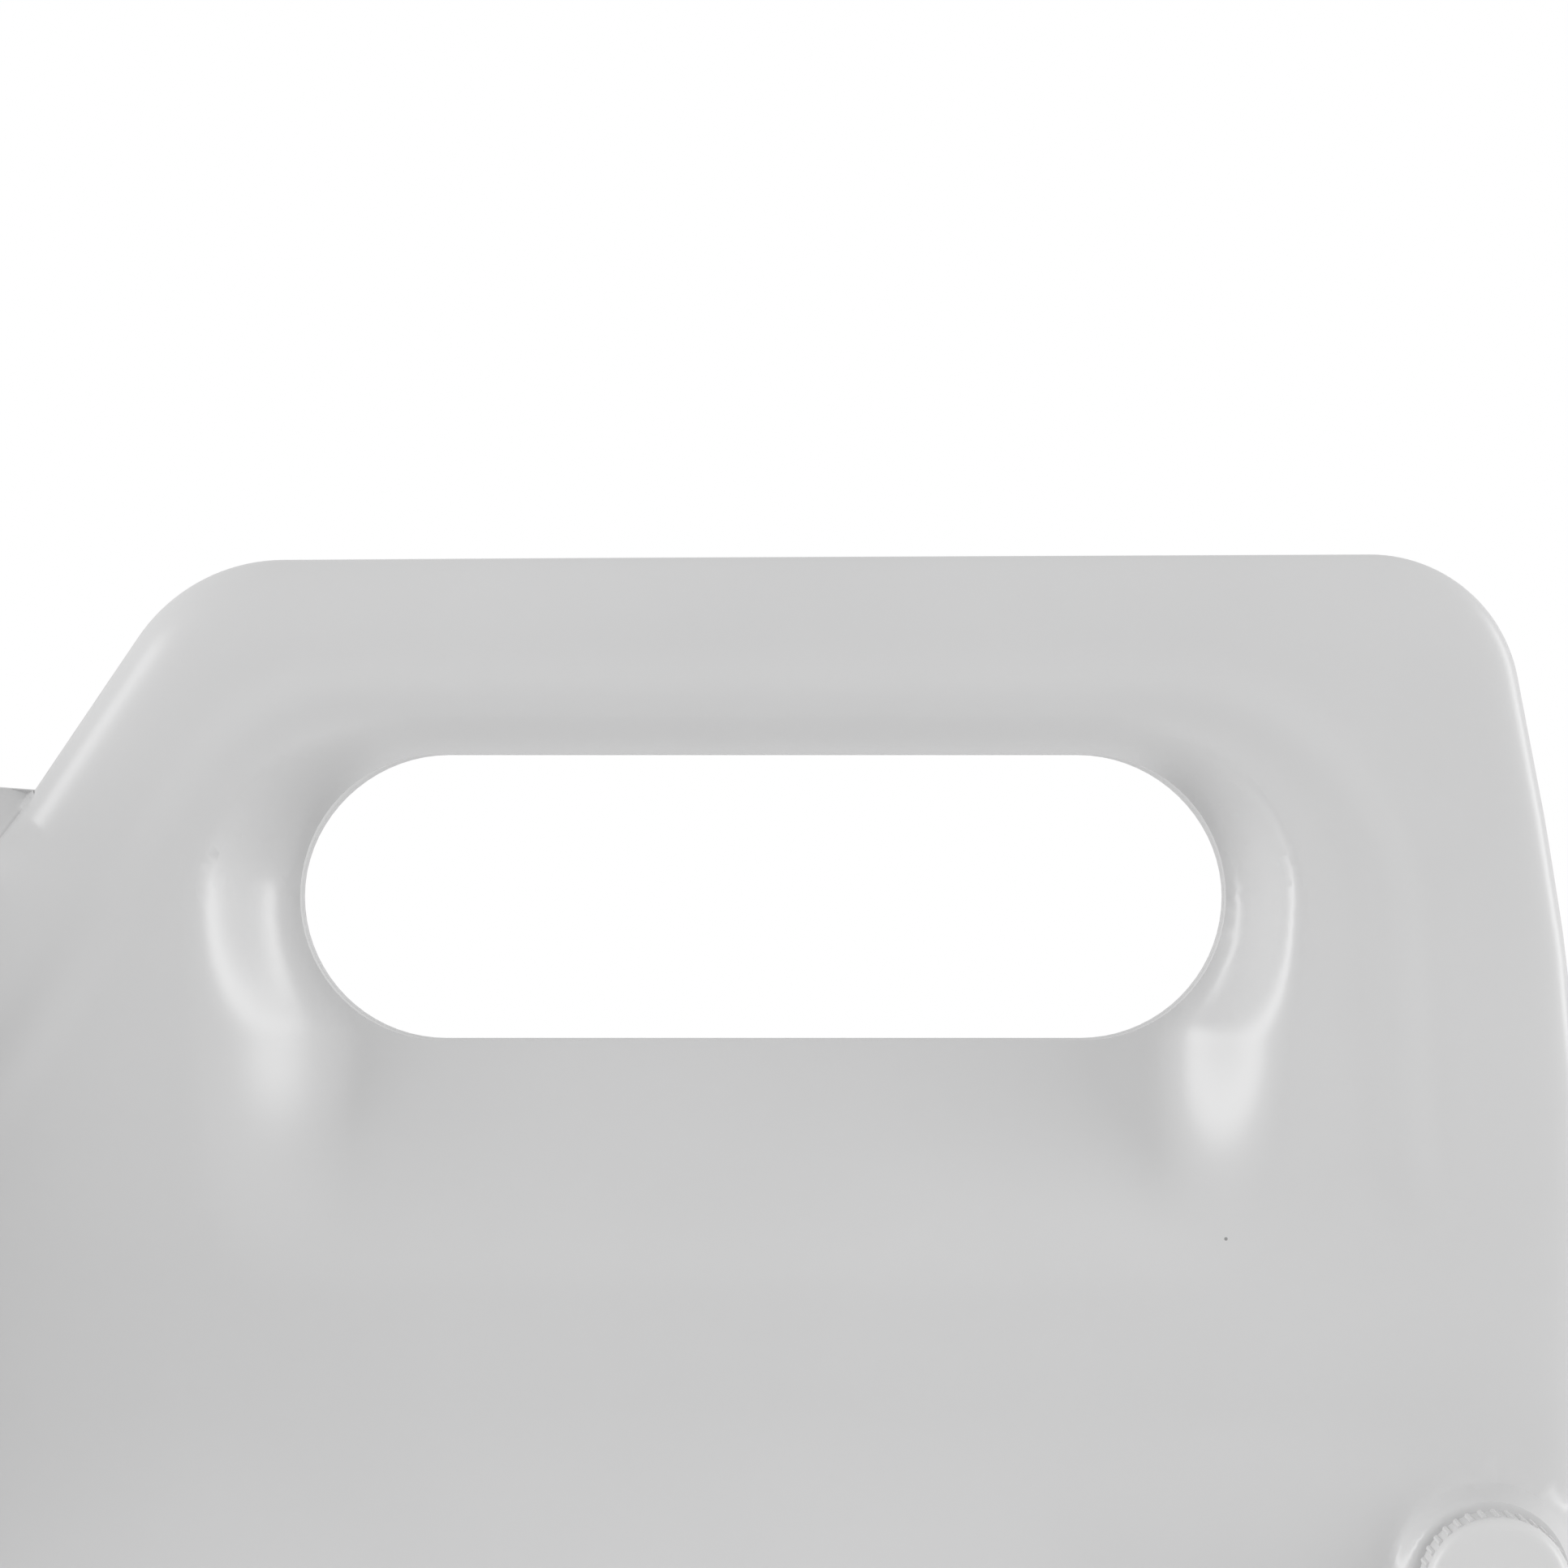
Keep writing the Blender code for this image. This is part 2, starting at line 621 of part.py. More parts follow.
def make_drain(plastic_material, seal_material, strainer_material):
    gasket_foot = SUMP_DEPTH + GAP
    gasket_top = gasket_foot + 0.0015
    flange_foot = gasket_top + GAP
    flange_top = flange_foot + 0.003
    ring_top = flange_top + GAP + 0.0015
    head_foot = ring_top + GAP
    head_top = head_foot + 0.006
    gasket = tube("drain_gasket", DRAIN_TUBE + 0.0004, DRAIN_FLANGE - 0.001, gasket_foot, gasket_top)
    bushing = turned("drain_bushing", [
        (DRAIN_FLANGE - 0.001, flange_top),
        (DRAIN_FLANGE, flange_top - 0.001),
        (DRAIN_FLANGE, flange_foot),
        (DRAIN_TUBE, flange_foot),
        (DRAIN_TUBE, -0.006),
        (DRAIN_BORE, -0.006),
        (DRAIN_BORE, flange_top),
    ])
    nut_bore = DRAIN_TUBE + 0.0003
    nut = flat_plate("drain_nut", [circle(0, 0, 0.019, 6), circle(0, 0, nut_bore, 28)], 0.006)
    nut_middle = SUMP_DEPTH - WALL - GAP - 0.003
    strainer_radius = DRAIN_BORE - GAP
    slots = [circle(0, 0, 0.0017, 8)]
    slots += [circle(0.0058 * math.cos(a), 0.0058 * math.sin(a), 0.0017, 8)
              for a in np.linspace(0, math.tau, 7)[:-1]]
    strainer = flat_plate("drain_strainer", [circle(0, 0, strainer_radius, 28), *slots], 0.002)
    plug = turned("drain_plug", [
        (0, head_top),
        (DRAIN_PLUG - 0.0015, head_top),
        (DRAIN_PLUG, head_top - 0.0015),
        (DRAIN_PLUG, head_foot),
        (DRAIN_BORE - 0.0006, head_foot),
        (DRAIN_BORE - 0.0006, 0.003),
        (DRAIN_BORE - 0.0016, 0.002),
        (0, 0.002),
    ])
    o_ring = turned("drain_o_ring", [
        (0.0135 + 0.00075 * math.cos(a), flange_top + GAP + 0.00075 * (1 - math.sin(a)))
        for a in np.linspace(0, math.tau, 8, endpoint=False)
    ], steps=32)
    wing = plug_wing(head_top)
    modifier = plug.modifiers.new("wing", "BOOLEAN")
    modifier.operation = "UNION"
    modifier.object = wing
    for obj, material in ((gasket, seal_material), (bushing, plastic_material),
                          (plug, plastic_material), (o_ring, seal_material)):
        finish(facing_front(obj, 0, BASIN_Z), material)
    wing.location, wing.rotation_euler = plug.location, plug.rotation_euler
    for plate, middle, material in ((nut, nut_middle, plastic_material),
                                    (strainer, -0.0035, strainer_material)):
        facing_front(plate, 0, BASIN_Z)
        plate.location.y = -middle
        finish(plate, material)


def plug_wing(head_top):
    """The grip bar across the plug's head."""
    bm = bmesh.new()
    bmesh.ops.create_cube(bm, size=1)
    bmesh.ops.scale(bm, vec=(0.028, 0.005, 0.013), verts=bm.verts)
    bmesh.ops.translate(bm, vec=(0, 0, head_top + 0.0055), verts=bm.verts)
    bmesh.ops.bevel(bm, geom=bm.edges, offset=0.001, segments=2, affect="EDGES")
    mesh = bpy.data.meshes.new("plug_wing")
    bm.to_mesh(mesh)
    bm.free()
    wing = add_object("plug_wing", mesh, helpers)
    wing.hide_render = True
    wing.display_type = "WIRE"
    return wing


def main():
    clear_scene()
    body_grey = plastic("tank_grey", (0.60, 0.60, 0.60), 0.30)
    neck_grey = plastic("neck_grey", (0.58, 0.58, 0.58), 0.35)
    cap_grey = plastic("cap_grey", (0.63, 0.63, 0.63), 0.35)
    seal_black = plastic("seal_black", (0.03, 0.03, 0.03), 0.60)
    drain_grey = plastic("drain_grey", (0.20, 0.20, 0.21), 0.40)
    strainer_white = plastic("strainer_white", (0.75, 0.75, 0.73), 0.45)
    make_tank(body_grey)
    make_spout(neck_grey, cap_grey, seal_black)
    make_vent(neck_grey, cap_grey, seal_black)
    make_drain(drain_grey, seal_black, strainer_white)


main()
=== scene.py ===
"""Looks of the closed oil drain pan: its moulded tank, spout, vent and drain fitting, and a plain studio.

Metres, +Z up. The pan stands on its base with the catch basin facing -Y and the carrying handle at the
top right. The tank is two moulded halves that meet at the parting plane y = 0. A half is drawn as a skin
whose depth from that plane is a function of its place in the front view, x and z.
"""

from __future__ import annotations

import logging
import math
from dataclasses import dataclass, field
from enum import Enum

import bmesh
import bpy
import numpy as np
from mathutils import Matrix, Vector
from mathutils.geometry import delaunay_2d_cdt

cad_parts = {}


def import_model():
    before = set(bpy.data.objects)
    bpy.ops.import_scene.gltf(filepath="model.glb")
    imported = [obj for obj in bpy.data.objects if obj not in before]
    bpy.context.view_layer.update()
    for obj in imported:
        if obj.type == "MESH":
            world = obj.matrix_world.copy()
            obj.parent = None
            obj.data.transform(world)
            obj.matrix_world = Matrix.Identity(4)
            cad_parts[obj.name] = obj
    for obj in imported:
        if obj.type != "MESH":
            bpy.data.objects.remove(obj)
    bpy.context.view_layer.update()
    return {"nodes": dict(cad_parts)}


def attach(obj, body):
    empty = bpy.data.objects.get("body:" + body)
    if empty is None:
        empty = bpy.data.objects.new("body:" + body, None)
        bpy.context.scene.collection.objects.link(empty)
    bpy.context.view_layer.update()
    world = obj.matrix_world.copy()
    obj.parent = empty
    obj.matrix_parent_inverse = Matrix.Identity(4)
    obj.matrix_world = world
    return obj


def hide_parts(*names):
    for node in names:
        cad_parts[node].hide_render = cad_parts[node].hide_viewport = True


LOG = logging.getLogger("oil_drain_pan")
Ring = np.ndarray
Corner = tuple[float, float, float]
WELD = 2e-6  # points this close are made one
SLIVER = 2e-10  # a triangle of less than half this area, all on the outline, lies outside it


class Half(Enum):
    """The mould half that a skin belongs to. The value is the side of the parting plane it is on."""

    FRONT = -1
    BACK = 1


class Facing(Enum):
    """The way that a turned piece points."""

    UP = "up"
    FRONT = "front"

    def matrix(self, x: float, z: float) -> Matrix:
        """Returns the placing of a piece turned about Z whose axis passes through (x, z)."""
        if self is Facing.UP:
            return Matrix.Translation((x, 0, z))
        return Matrix.Translation((x, 0, z)) @ Matrix.Rotation(math.pi / 2, 4, "X")


# --- small shape helpers ---


def smooth(share: np.ndarray | float) -> np.ndarray | float:
    """Returns an S-shaped step that runs from 0 to 1 as share does."""
    share = np.clip(share, 0.0, 1.0)
    return share * share * (3 - 2 * share)


def blend(low, high, share):
    """Returns the value share of the way from low to high."""
    return low + (high - low) * share


def circle(x: float, z: float, radius: float, steps: int = 64) -> Ring:
    """Returns a circle of points round (x, z)."""
    angles = np.linspace(0, math.tau, steps, endpoint=False)
    return np.column_stack([x + radius * np.cos(angles), z + radius * np.sin(angles)])


def rounded_path(corners: list[Corner], step: float, closed: bool = True) -> tuple[Ring, Ring]:
    """Walks corners, each turned into an arc.

    Args:
        corners: The (u, v, radius) corners, anticlockwise where the path is closed.
        step: The largest turn between two points of an arc, in radians.
        closed: Whether the last corner joins the first. The ends of an open path stay sharp.

    Returns:
        The points, and at each point the normal to the left of the path.
    """
    places = np.array([corner[:2] for corner in corners], float)
    points, normals = [], []
    for i, (_, _, radius) in enumerate(corners):
        is_end = not closed and i in (0, len(corners) - 1)
        arriving = places[i] - places[i - 1]
        leaving = places[(i + 1) % len(places)] - places[i]
        if is_end:
            arriving = leaving = leaving if i == 0 else arriving
        start = math.atan2(arriving[1], arriving[0])
        turn = math.remainder(math.atan2(leaving[1], leaving[0]) - start, math.tau)
        side = math.copysign(1.0, turn)
        radius = 0.0 if is_end else radius
        first = places[i] - radius * math.tan(abs(turn) / 2) * arriving / np.linalg.norm(arriving)
        centre = first + side * radius * np.array([-math.sin(start), math.cos(start)])
        steps = max(1, math.ceil(abs(turn) / step)) if radius > 0 else 0
        for k in range(steps + 1):
            angle = start + turn * (k / steps if steps else 0.5)
            left = np.array([-math.sin(angle), math.cos(angle)])
            points.append(centre - side * radius * left)
            normals.append(left)
    return np.array(points), np.array(normals)


def split_runs(points: Ring, normals: Ring, limit: float) -> tuple[Ring, Ring]:
    """Adds points along a closed path's straight runs, so that none is longer than limit."""
    out_points, out_normals = [], []
    for i, point in enumerate(points):
        following = points[(i + 1) % len(points)]
        pieces = max(1, math.ceil(float(np.linalg.norm(following - point)) / limit))
        for k in range(pieces):
            out_points.append(point + (following - point) * k / pieces)
            out_normals.append(normals[i])
    return np.array(out_points), np.array(out_normals)


def nearest(points: Ring, path: Ring, closed: bool) -> tuple[np.ndarray, np.ndarray]:
    """Measures points against a path of straight pieces.

    Args:
        points: The (x, z) points to measure.
        path: The path's points.
        closed: Whether the last point joins the first.

    Returns:
        Each point's distance to the path, and how far along the path its nearest place is.
    """
    starts = path if closed else path[:-1]
    spans = (np.roll(path, -1, axis=0) if closed else path[1:]) - starts
    lengths = np.linalg.norm(spans, axis=1)
    ahead = np.concatenate([[0.0], np.cumsum(lengths)[:-1]])
    distance, along = np.empty(len(points)), np.empty(len(points))
    chunk = 2000
    for first in range(0, len(points), chunk):
        here = points[first : first + chunk, None, :] - starts[None]
        share = np.clip((here * spans).sum(2) / (lengths**2 + 1e-18), 0, 1)
        gap = np.linalg.norm(here - share[..., None] * spans, axis=2)
        best = gap.argmin(1)
        rows = np.arange(len(best))
        distance[first : first + chunk] = gap[rows, best]
        along[first : first + chunk] = ahead[best] + share[rows, best] * lengths[best]
    return distance, along


def inside(points: Ring, ring: Ring) -> np.ndarray:
    """Returns which points are inside a closed ring, by the even-odd rule."""
    found = np.zeros(len(points), bool)
    for a, b in zip(ring, np.roll(ring, -1, axis=0)):
        if a[1] == b[1]:
            continue
        crosses = (a[1] > points[:, 1]) != (b[1] > points[:, 1])
        found ^= crosses & (points[:, 0] < a[0] + (points[:, 1] - a[1]) * (b[0] - a[0]) / (b[1] - a[1]))
    return found


def inset_of(points: Ring, ring: Ring) -> np.ndarray:
    """Returns how far each point is inside a closed ring, negative outside it."""
    distance, _ = nearest(points, ring, closed=True)
    return np.where(inside(points, ring), distance, -distance)


def hex_grid(low: tuple[float, float], high: tuple[float, float], spacing: float) -> Ring:
    """Returns a triangular grid of points over a rectangle."""
    rows = np.arange(low[1], high[1], spacing * math.sqrt(0.75))
    columns = np.arange(low[0], high[0], spacing)
    shift = np.arange(len(rows)) % 2 * spacing / 2
    x = columns[None, :] + shift[:, None]
    z = np.broadcast_to(rows[:, None], x.shape)
    return np.column_stack([x.ravel(), z.ravel()])


# --- finishes ---


@dataclass(frozen=True)
class Finish:
    """A moulded surface: its colour, its gloss, its slow waves and its fine grain.

    Sizes are in metres. The waves are the faint unevenness of a moulded wall, and the grain is its texture.
    """

    name: str
    colour: tuple[float, float, float]
    roughness: float
    wave_size: float = 0.014
    wave_height: float = 0.00002
    grain_size: float = 0.0007
    grain_height: float = 0.000004
    tone_change: float = 0.015
    specks: float = 0.0
    subsurface: float = 0.0

    def material(self) -> bpy.types.Material:
        """Returns the finish's material, made once."""
        if self.name in bpy.data.materials:
            return bpy.data.materials[self.name]
        material = bpy.data.materials.new(self.name)
        material.use_nodes = True
        nodes, links = material.node_tree.nodes, material.node_tree.links
        shader = nodes["Principled BSDF"]
        place = nodes.new("ShaderNodeTexCoord").outputs["Object"]
        wave = self._noise(nodes, links, place, self.wave_size, 3.0)
        grain = self._noise(nodes, links, place, self.grain_size, 2.0)
        colour = self._tones(nodes, links, place)
        links.new(colour, shader.inputs["Base Color"])
        links.new(self._gloss(nodes, links, place), shader.inputs["Roughness"])
        waves = self._bump(nodes, links, wave, self.wave_height, None)
        grains = self._bump(nodes, links, grain, self.grain_height, waves)
        links.new(grains, shader.inputs["Normal"])
        shader.inputs["Subsurface Weight"].default_value = self.subsurface
        shader.inputs["Subsurface Scale"].default_value = 0.004
        shader.inputs["IOR"].default_value = 1.5
        return material

    def _noise(self, nodes, links, place, size: float, detail: float):
        """Returns a noise value whose features are size across."""
        noise = nodes.new("ShaderNodeTexNoise")
        noise.inputs["Scale"].default_value = 1 / size
        noise.inputs["Detail"].default_value = detail
        links.new(place, noise.inputs["Vector"])
        return noise.outputs["Fac"]

    def _bump(self, nodes, links, height, distance: float, under):
        """Returns a normal bumped by height, over the normal under it."""
        bump = nodes.new("ShaderNodeBump")
        bump.inputs["Strength"].default_value = 1.0
        bump.inputs["Distance"].default_value = distance
        links.new(height, bump.inputs["Height"])
        if under is not None:
            links.new(under, bump.inputs["Normal"])
        return bump.outputs["Normal"]

    def _tones(self, nodes, links, place):
        """Returns the colour: slow changes of tone, with dark specks where the finish has them."""
        ramp = nodes.new("ShaderNodeValToRGB")
        low = tuple(value * (1 - self.tone_change) for value in self.colour)
        high = tuple(value * (1 + self.tone_change) for value in self.colour)
        ramp.color_ramp.elements[0].position, ramp.color_ramp.elements[0].color = 0.35, (*low, 1)
        ramp.color_ramp.elements[1].position, ramp.color_ramp.elements[1].color = 0.65, (*high, 1)
        links.new(self._noise(nodes, links, place, 0.055, 4.0), ramp.inputs["Fac"])
        if self.specks <= 0:
            return ramp.outputs["Color"]
        cells = nodes.new("ShaderNodeTexVoronoi")
        cells.inputs["Scale"].default_value = 55.0
        links.new(place, cells.inputs["Vector"])
        near = nodes.new("ShaderNodeMath")
        near.operation = "LESS_THAN"
        near.inputs[1].default_value = self.specks
        links.new(cells.outputs["Distance"], near.inputs[0])
        mix = nodes.new("ShaderNodeMix")
        mix.data_type = "RGBA"
        links.new(near.outputs[0], mix.inputs["Factor"])
        links.new(ramp.outputs["Color"], mix.inputs["A"])
        mix.inputs["B"].default_value = (*(0.45 * value for value in self.colour), 1)
        return mix.outputs["Result"]

    def _gloss(self, nodes, links, place):
        """Returns the roughness, a little uneven."""
        spread = nodes.new("ShaderNodeMapRange")
        spread.inputs["To Min"].default_value = self.roughness - 0.03
        spread.inputs["To Max"].default_value = self.roughness + 0.03
        links.new(self._noise(nodes, links, place, 0.03, 3.0), spread.inputs["Value"])
        return spread.outputs["Result"]


TANK_PLASTIC = Finish("tank_polyethylene", (0.560, 0.560, 0.562), 0.30, specks=0.012, subsurface=0.0)
NECK_PLASTIC = Finish("neck_polyethylene", (0.55, 0.55, 0.55), 0.34, wave_height=0.000008)
CAP_PLASTIC = Finish(
    "cap_polypropylene", (0.60, 0.60, 0.60), 0.36, wave_height=0.000006, grain_height=0.000008)
SEAL_RUBBER = Finish("seal_rubber", (0.025, 0.025, 0.027), 0.62, wave_height=0.00001, tone_change=0.10)
FITTING_PLASTIC = Finish(
    "fitting_nylon", (0.085, 0.087, 0.092), 0.42, wave_height=0.000006, grain_height=0.00001)
SCREEN_PLASTIC = Finish("screen_polyethylene", (0.72, 0.72, 0.70), 0.45, wave_height=0.000004)
FLOOR_PAINT = Finish(
    "studio_floor", (0.82, 0.82, 0.82), 0.80, wave_height=0.0, grain_height=0.0, tone_change=0.0)


# --- pieces ---


def add_piece(name: str, mesh: bpy.types.Mesh, finish: Finish, sharp_deg: float = 35.0) -> bpy.types.Object:
    """Adds a finished mesh at the origin, smooth over its round faces.

    Args:
        name: The piece's name.
        mesh: Its mesh, already in its place.
        finish: Its finish.
        sharp_deg: The angle past which an edge stays sharp.

    Returns:
        The new object.
    """
    mesh.name = name
    mesh.materials.clear()
    mesh.materials.append(finish.material())
    mesh.shade_smooth()
    mesh.set_sharp_from_angle(angle=math.radians(sharp_deg))
    piece = bpy.data.objects.new(name, mesh)
    bpy.context.scene.collection.objects.link(piece)
    return piece


def keep(piece: bpy.types.Object, body: str, slot: str, *nodes: str) -> bpy.types.Object:
    """Rides a piece on a body, hides the nodes that it stands for, and reports it."""
    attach(piece, body)
    if nodes:
        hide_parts(*nodes)
    LOG.info("%s: %d faces, on %s", piece.name, len(piece.data.polygons), body)
    return piece


def mesh_of(bm: bmesh.types.BMesh) -> bpy.types.Mesh:
    """Returns a bmesh as a mesh whose faces point outwards, and frees it."""
    bmesh.ops.recalc_face_normals(bm, faces=bm.faces)
    mesh = bpy.data.meshes.new("piece")
    bm.to_mesh(mesh)
    bm.free()
    return mesh


def lathe(corners: list[Corner], matrix: Matrix, steps: int = 96) -> bpy.types.Mesh:
    """Turns a profile about Z and places it.

    Args:
        corners: The profile's (radius, height, fillet) corners. One that starts and ends on the axis is
            solid there, and any other is closed into a ring.
        matrix: Where the piece goes.
        steps: The number of faces round the axis.

    Returns:
        The closed mesh.
    """
    closed = min(corner[0] for corner in corners) > 0
    profile, _ = rounded_path(corners, math.radians(18), closed)
    bm = bmesh.new()
    angles = np.linspace(0, math.tau, steps, endpoint=False)
    rings = [
        [bm.verts.new((r * math.cos(a), r * math.sin(a), h)) for a in angles] if r > 1e-9
        else [bm.verts.new((0, 0, h))] * steps
        for r, h in profile
    ]
    count = len(rings) if closed else len(rings) - 1
    for i in range(count):
        lower, upper = rings[i], rings[(i + 1) % len(rings)]
        for k in range(steps):
            corner = [lower[k], lower[(k + 1) % steps], upper[(k + 1) % steps], upper[k]]
            bm.faces.new(list(dict.fromkeys(corner)))
    bmesh.ops.transform(bm, matrix=matrix, verts=bm.verts)
    return mesh_of(bm)


def united(
    mesh: bpy.types.Mesh, tool: bpy.types.Mesh, operation: str, solver: str = "EXACT"
) -> bpy.types.Mesh:
    """Returns one mesh cut by, or joined with, another."""
    base, other = (bpy.data.objects.new("shape", data) for data in (mesh, tool))
    for obj in (base, other):
        bpy.context.scene.collection.objects.link(obj)
    modifier = base.modifiers.new("join", "BOOLEAN")
    modifier.operation, modifier.object, modifier.solver = operation, other, solver
    result = bpy.data.meshes.new_from_object(base.evaluated_get(bpy.context.evaluated_depsgraph_get()))
    for obj in (base, other):
        bpy.data.objects.remove(obj)
    return result


# --- geometry nodes ---


class NodeSteps:
    """A geometry node tree, built step by step."""

    def __init__(self, name: str, sizes: dict[str, float | int]) -> None:
        """Starts a tree with a geometry input and one named input for each size."""
        self.sizes = sizes
        self.tree = bpy.data.node_groups.new(name, "GeometryNodeTree")
        face = self.tree.interface
        face.new_socket("Geometry", in_out="INPUT", socket_type="NodeSocketGeometry")
        face.new_socket("Geometry", in_out="OUTPUT", socket_type="NodeSocketGeometry")
        for title, value in sizes.items():
            kind = "NodeSocketInt" if isinstance(value, int) else "NodeSocketFloat"
            face.new_socket(title, in_out="INPUT", socket_type=kind)
        self.entry = self.add("NodeGroupInput")
        self.exit = self.add("NodeGroupOutput")

    def add(self, kind: str, **given):
        """Adds a node and gives its inputs or settings.

        Args:
            kind: The node's type.
            given: Sockets, values or settings by name, with underscores for spaces.

        Returns:
            The node.
        """
        node = self.tree.nodes.new(kind)
        for key, value in given.items():
            title = key.replace("_", " ")
            sockets = [s for s in node.inputs if s.name == title and s.enabled]
            if not sockets:
                setattr(node, key, value)
            elif isinstance(value, bpy.types.NodeSocket):
                self.tree.links.new(value, sockets[0])
            else:
                sockets[0].default_value = value
        return node

    def size(self, title: str):
        """Returns the output of one of the tree's named inputs."""
        return self.entry.outputs[title]

    def maths(self, operation: str, first, second=0.0):
        """Returns the result of one sum on two values."""
        node = self.add("ShaderNodeMath", operation=operation)
        for socket, value in zip(node.inputs, (first, second)):
            if isinstance(value, bpy.types.NodeSocket):
                self.tree.links.new(value, socket)
            else:
                socket.default_value = value
        return node.outputs[0]

    def close(self, *geometry, finish: Finish) -> None:
        """Joins geometry, realizes its instances and gives it its material."""
        join = self.add("GeometryNodeJoinGeometry")
        for part in geometry:
            self.tree.links.new(part, join.inputs[0])
        real = self.add("GeometryNodeRealizeInstances", Geometry=join.outputs[0])
        dressed = self.add("GeometryNodeSetMaterial", Geometry=real.outputs[0], Material=finish.material())
        self.tree.links.new(dressed.outputs[0], self.exit.inputs[0])

    def mesh_on(self, mesh: bpy.types.Mesh) -> bpy.types.Mesh:
        """Runs the tree on a mesh and returns the result as a plain mesh."""
        obj = bpy.data.objects.new("worked", mesh)
        bpy.context.scene.collection.objects.link(obj)
        modifier = obj.modifiers.new("steps", "NODES")
        modifier.node_group = self.tree
        for item in self.tree.interface.items_tree:
            if item.in_out == "INPUT" and item.name in self.sizes:
                modifier[item.identifier] = self.sizes[item.name]
        graph = bpy.context.evaluated_depsgraph_get()
        result = bpy.data.meshes.new_from_object(obj.evaluated_get(graph))
        bpy.data.objects.remove(obj)
        return result


def grip_ribs(base: bpy.types.Mesh, finish: Finish, count: int, radius: float, width: float,
              low: float, high: float) -> bpy.types.Mesh:
    """Adds upright ribs round a cap's skirt.

    Args:
        base: The cap, on the Z axis.
        finish: The cap's finish.
        count: The number of ribs.
        radius: How far the ribs' middles are from the axis.
        width: A rib's own radius.
        low: The ribs' lower end.
        high: The ribs' upper end.

    Returns:
        The cap with its ribs.
    """
    steps = NodeSteps("grip_ribs", {"Count": count, "Radius": radius, "Rib radius": width,
                                    "Height": high - low, "Middle": (low + high) / 2})
    ring = steps.add("GeometryNodeMeshCircle", Vertices=steps.size("Count"), Radius=steps.size("Radius"))
    lift = steps.add("ShaderNodeCombineXYZ", Z=steps.size("Middle"))
    raised = steps.add("GeometryNodeTransform", Geometry=ring.outputs[0], Translation=lift.outputs[0])
    rib = steps.add("GeometryNodeMeshCone", Vertices=8, Radius_Top=steps.size("Rib radius"),
                    Radius_Bottom=steps.size("Rib radius"), Depth=steps.size("Height"))
    half = steps.maths("MULTIPLY", steps.size("Height"), -0.5)
    drop = steps.add("ShaderNodeCombineXYZ", Z=half)
    centred = steps.add("GeometryNodeTransform", Geometry=rib.outputs["Mesh"], Translation=drop.outputs[0])
    ribs = steps.add("GeometryNodeInstanceOnPoints", Points=raised.outputs[0], Instance=centred.outputs[0])
    steps.close(steps.entry.outputs["Geometry"], ribs.outputs[0], finish=finish)
    return steps.mesh_on(base)


def screw_thread(base: bpy.types.Mesh, finish: Finish, radius: float, ridge: float, pitch: float,
                 turns: float, low: float) -> bpy.types.Mesh:
    """Adds a rounded helical thread to a neck or a plug.

    Args:
        base: The piece, on the Z axis.
        finish: The piece's finish.
        radius: How far the ridge's middle is from the axis.
        ridge: The ridge's own radius.
        pitch: The thread's rise in one turn.
        turns: The number of turns.
        low: Where the thread starts.

    Returns:
        The piece with its thread.
    """
    steps = NodeSteps("screw_thread", {"Radius": radius, "Ridge": ridge, "Height": pitch * turns,
                                       "Turns": turns, "Low": low})
    helix = steps.add("GeometryNodeCurveSpiral", Resolution=48, Rotations=steps.size("Turns"),
                      Start_Radius=steps.size("Radius"), End_Radius=steps.size("Radius"),
                      Height=steps.size("Height"))
    round_ = steps.add("GeometryNodeCurvePrimitiveCircle", Resolution=8, Radius=steps.size("Ridge"))
    swept = steps.add("GeometryNodeCurveToMesh", Curve=helix.outputs[0], Profile_Curve=round_.outputs[0])
    swept.inputs["Fill Caps"].default_value = True
    lift = steps.add("ShaderNodeCombineXYZ", Z=steps.size("Low"))
    placed = steps.add("GeometryNodeTransform", Geometry=swept.outputs[0], Translation=lift.outputs[0])
    steps.close(steps.entry.outputs["Geometry"], placed.outputs[0], finish=finish)
    return steps.mesh_on(base)


# --- the tank ---


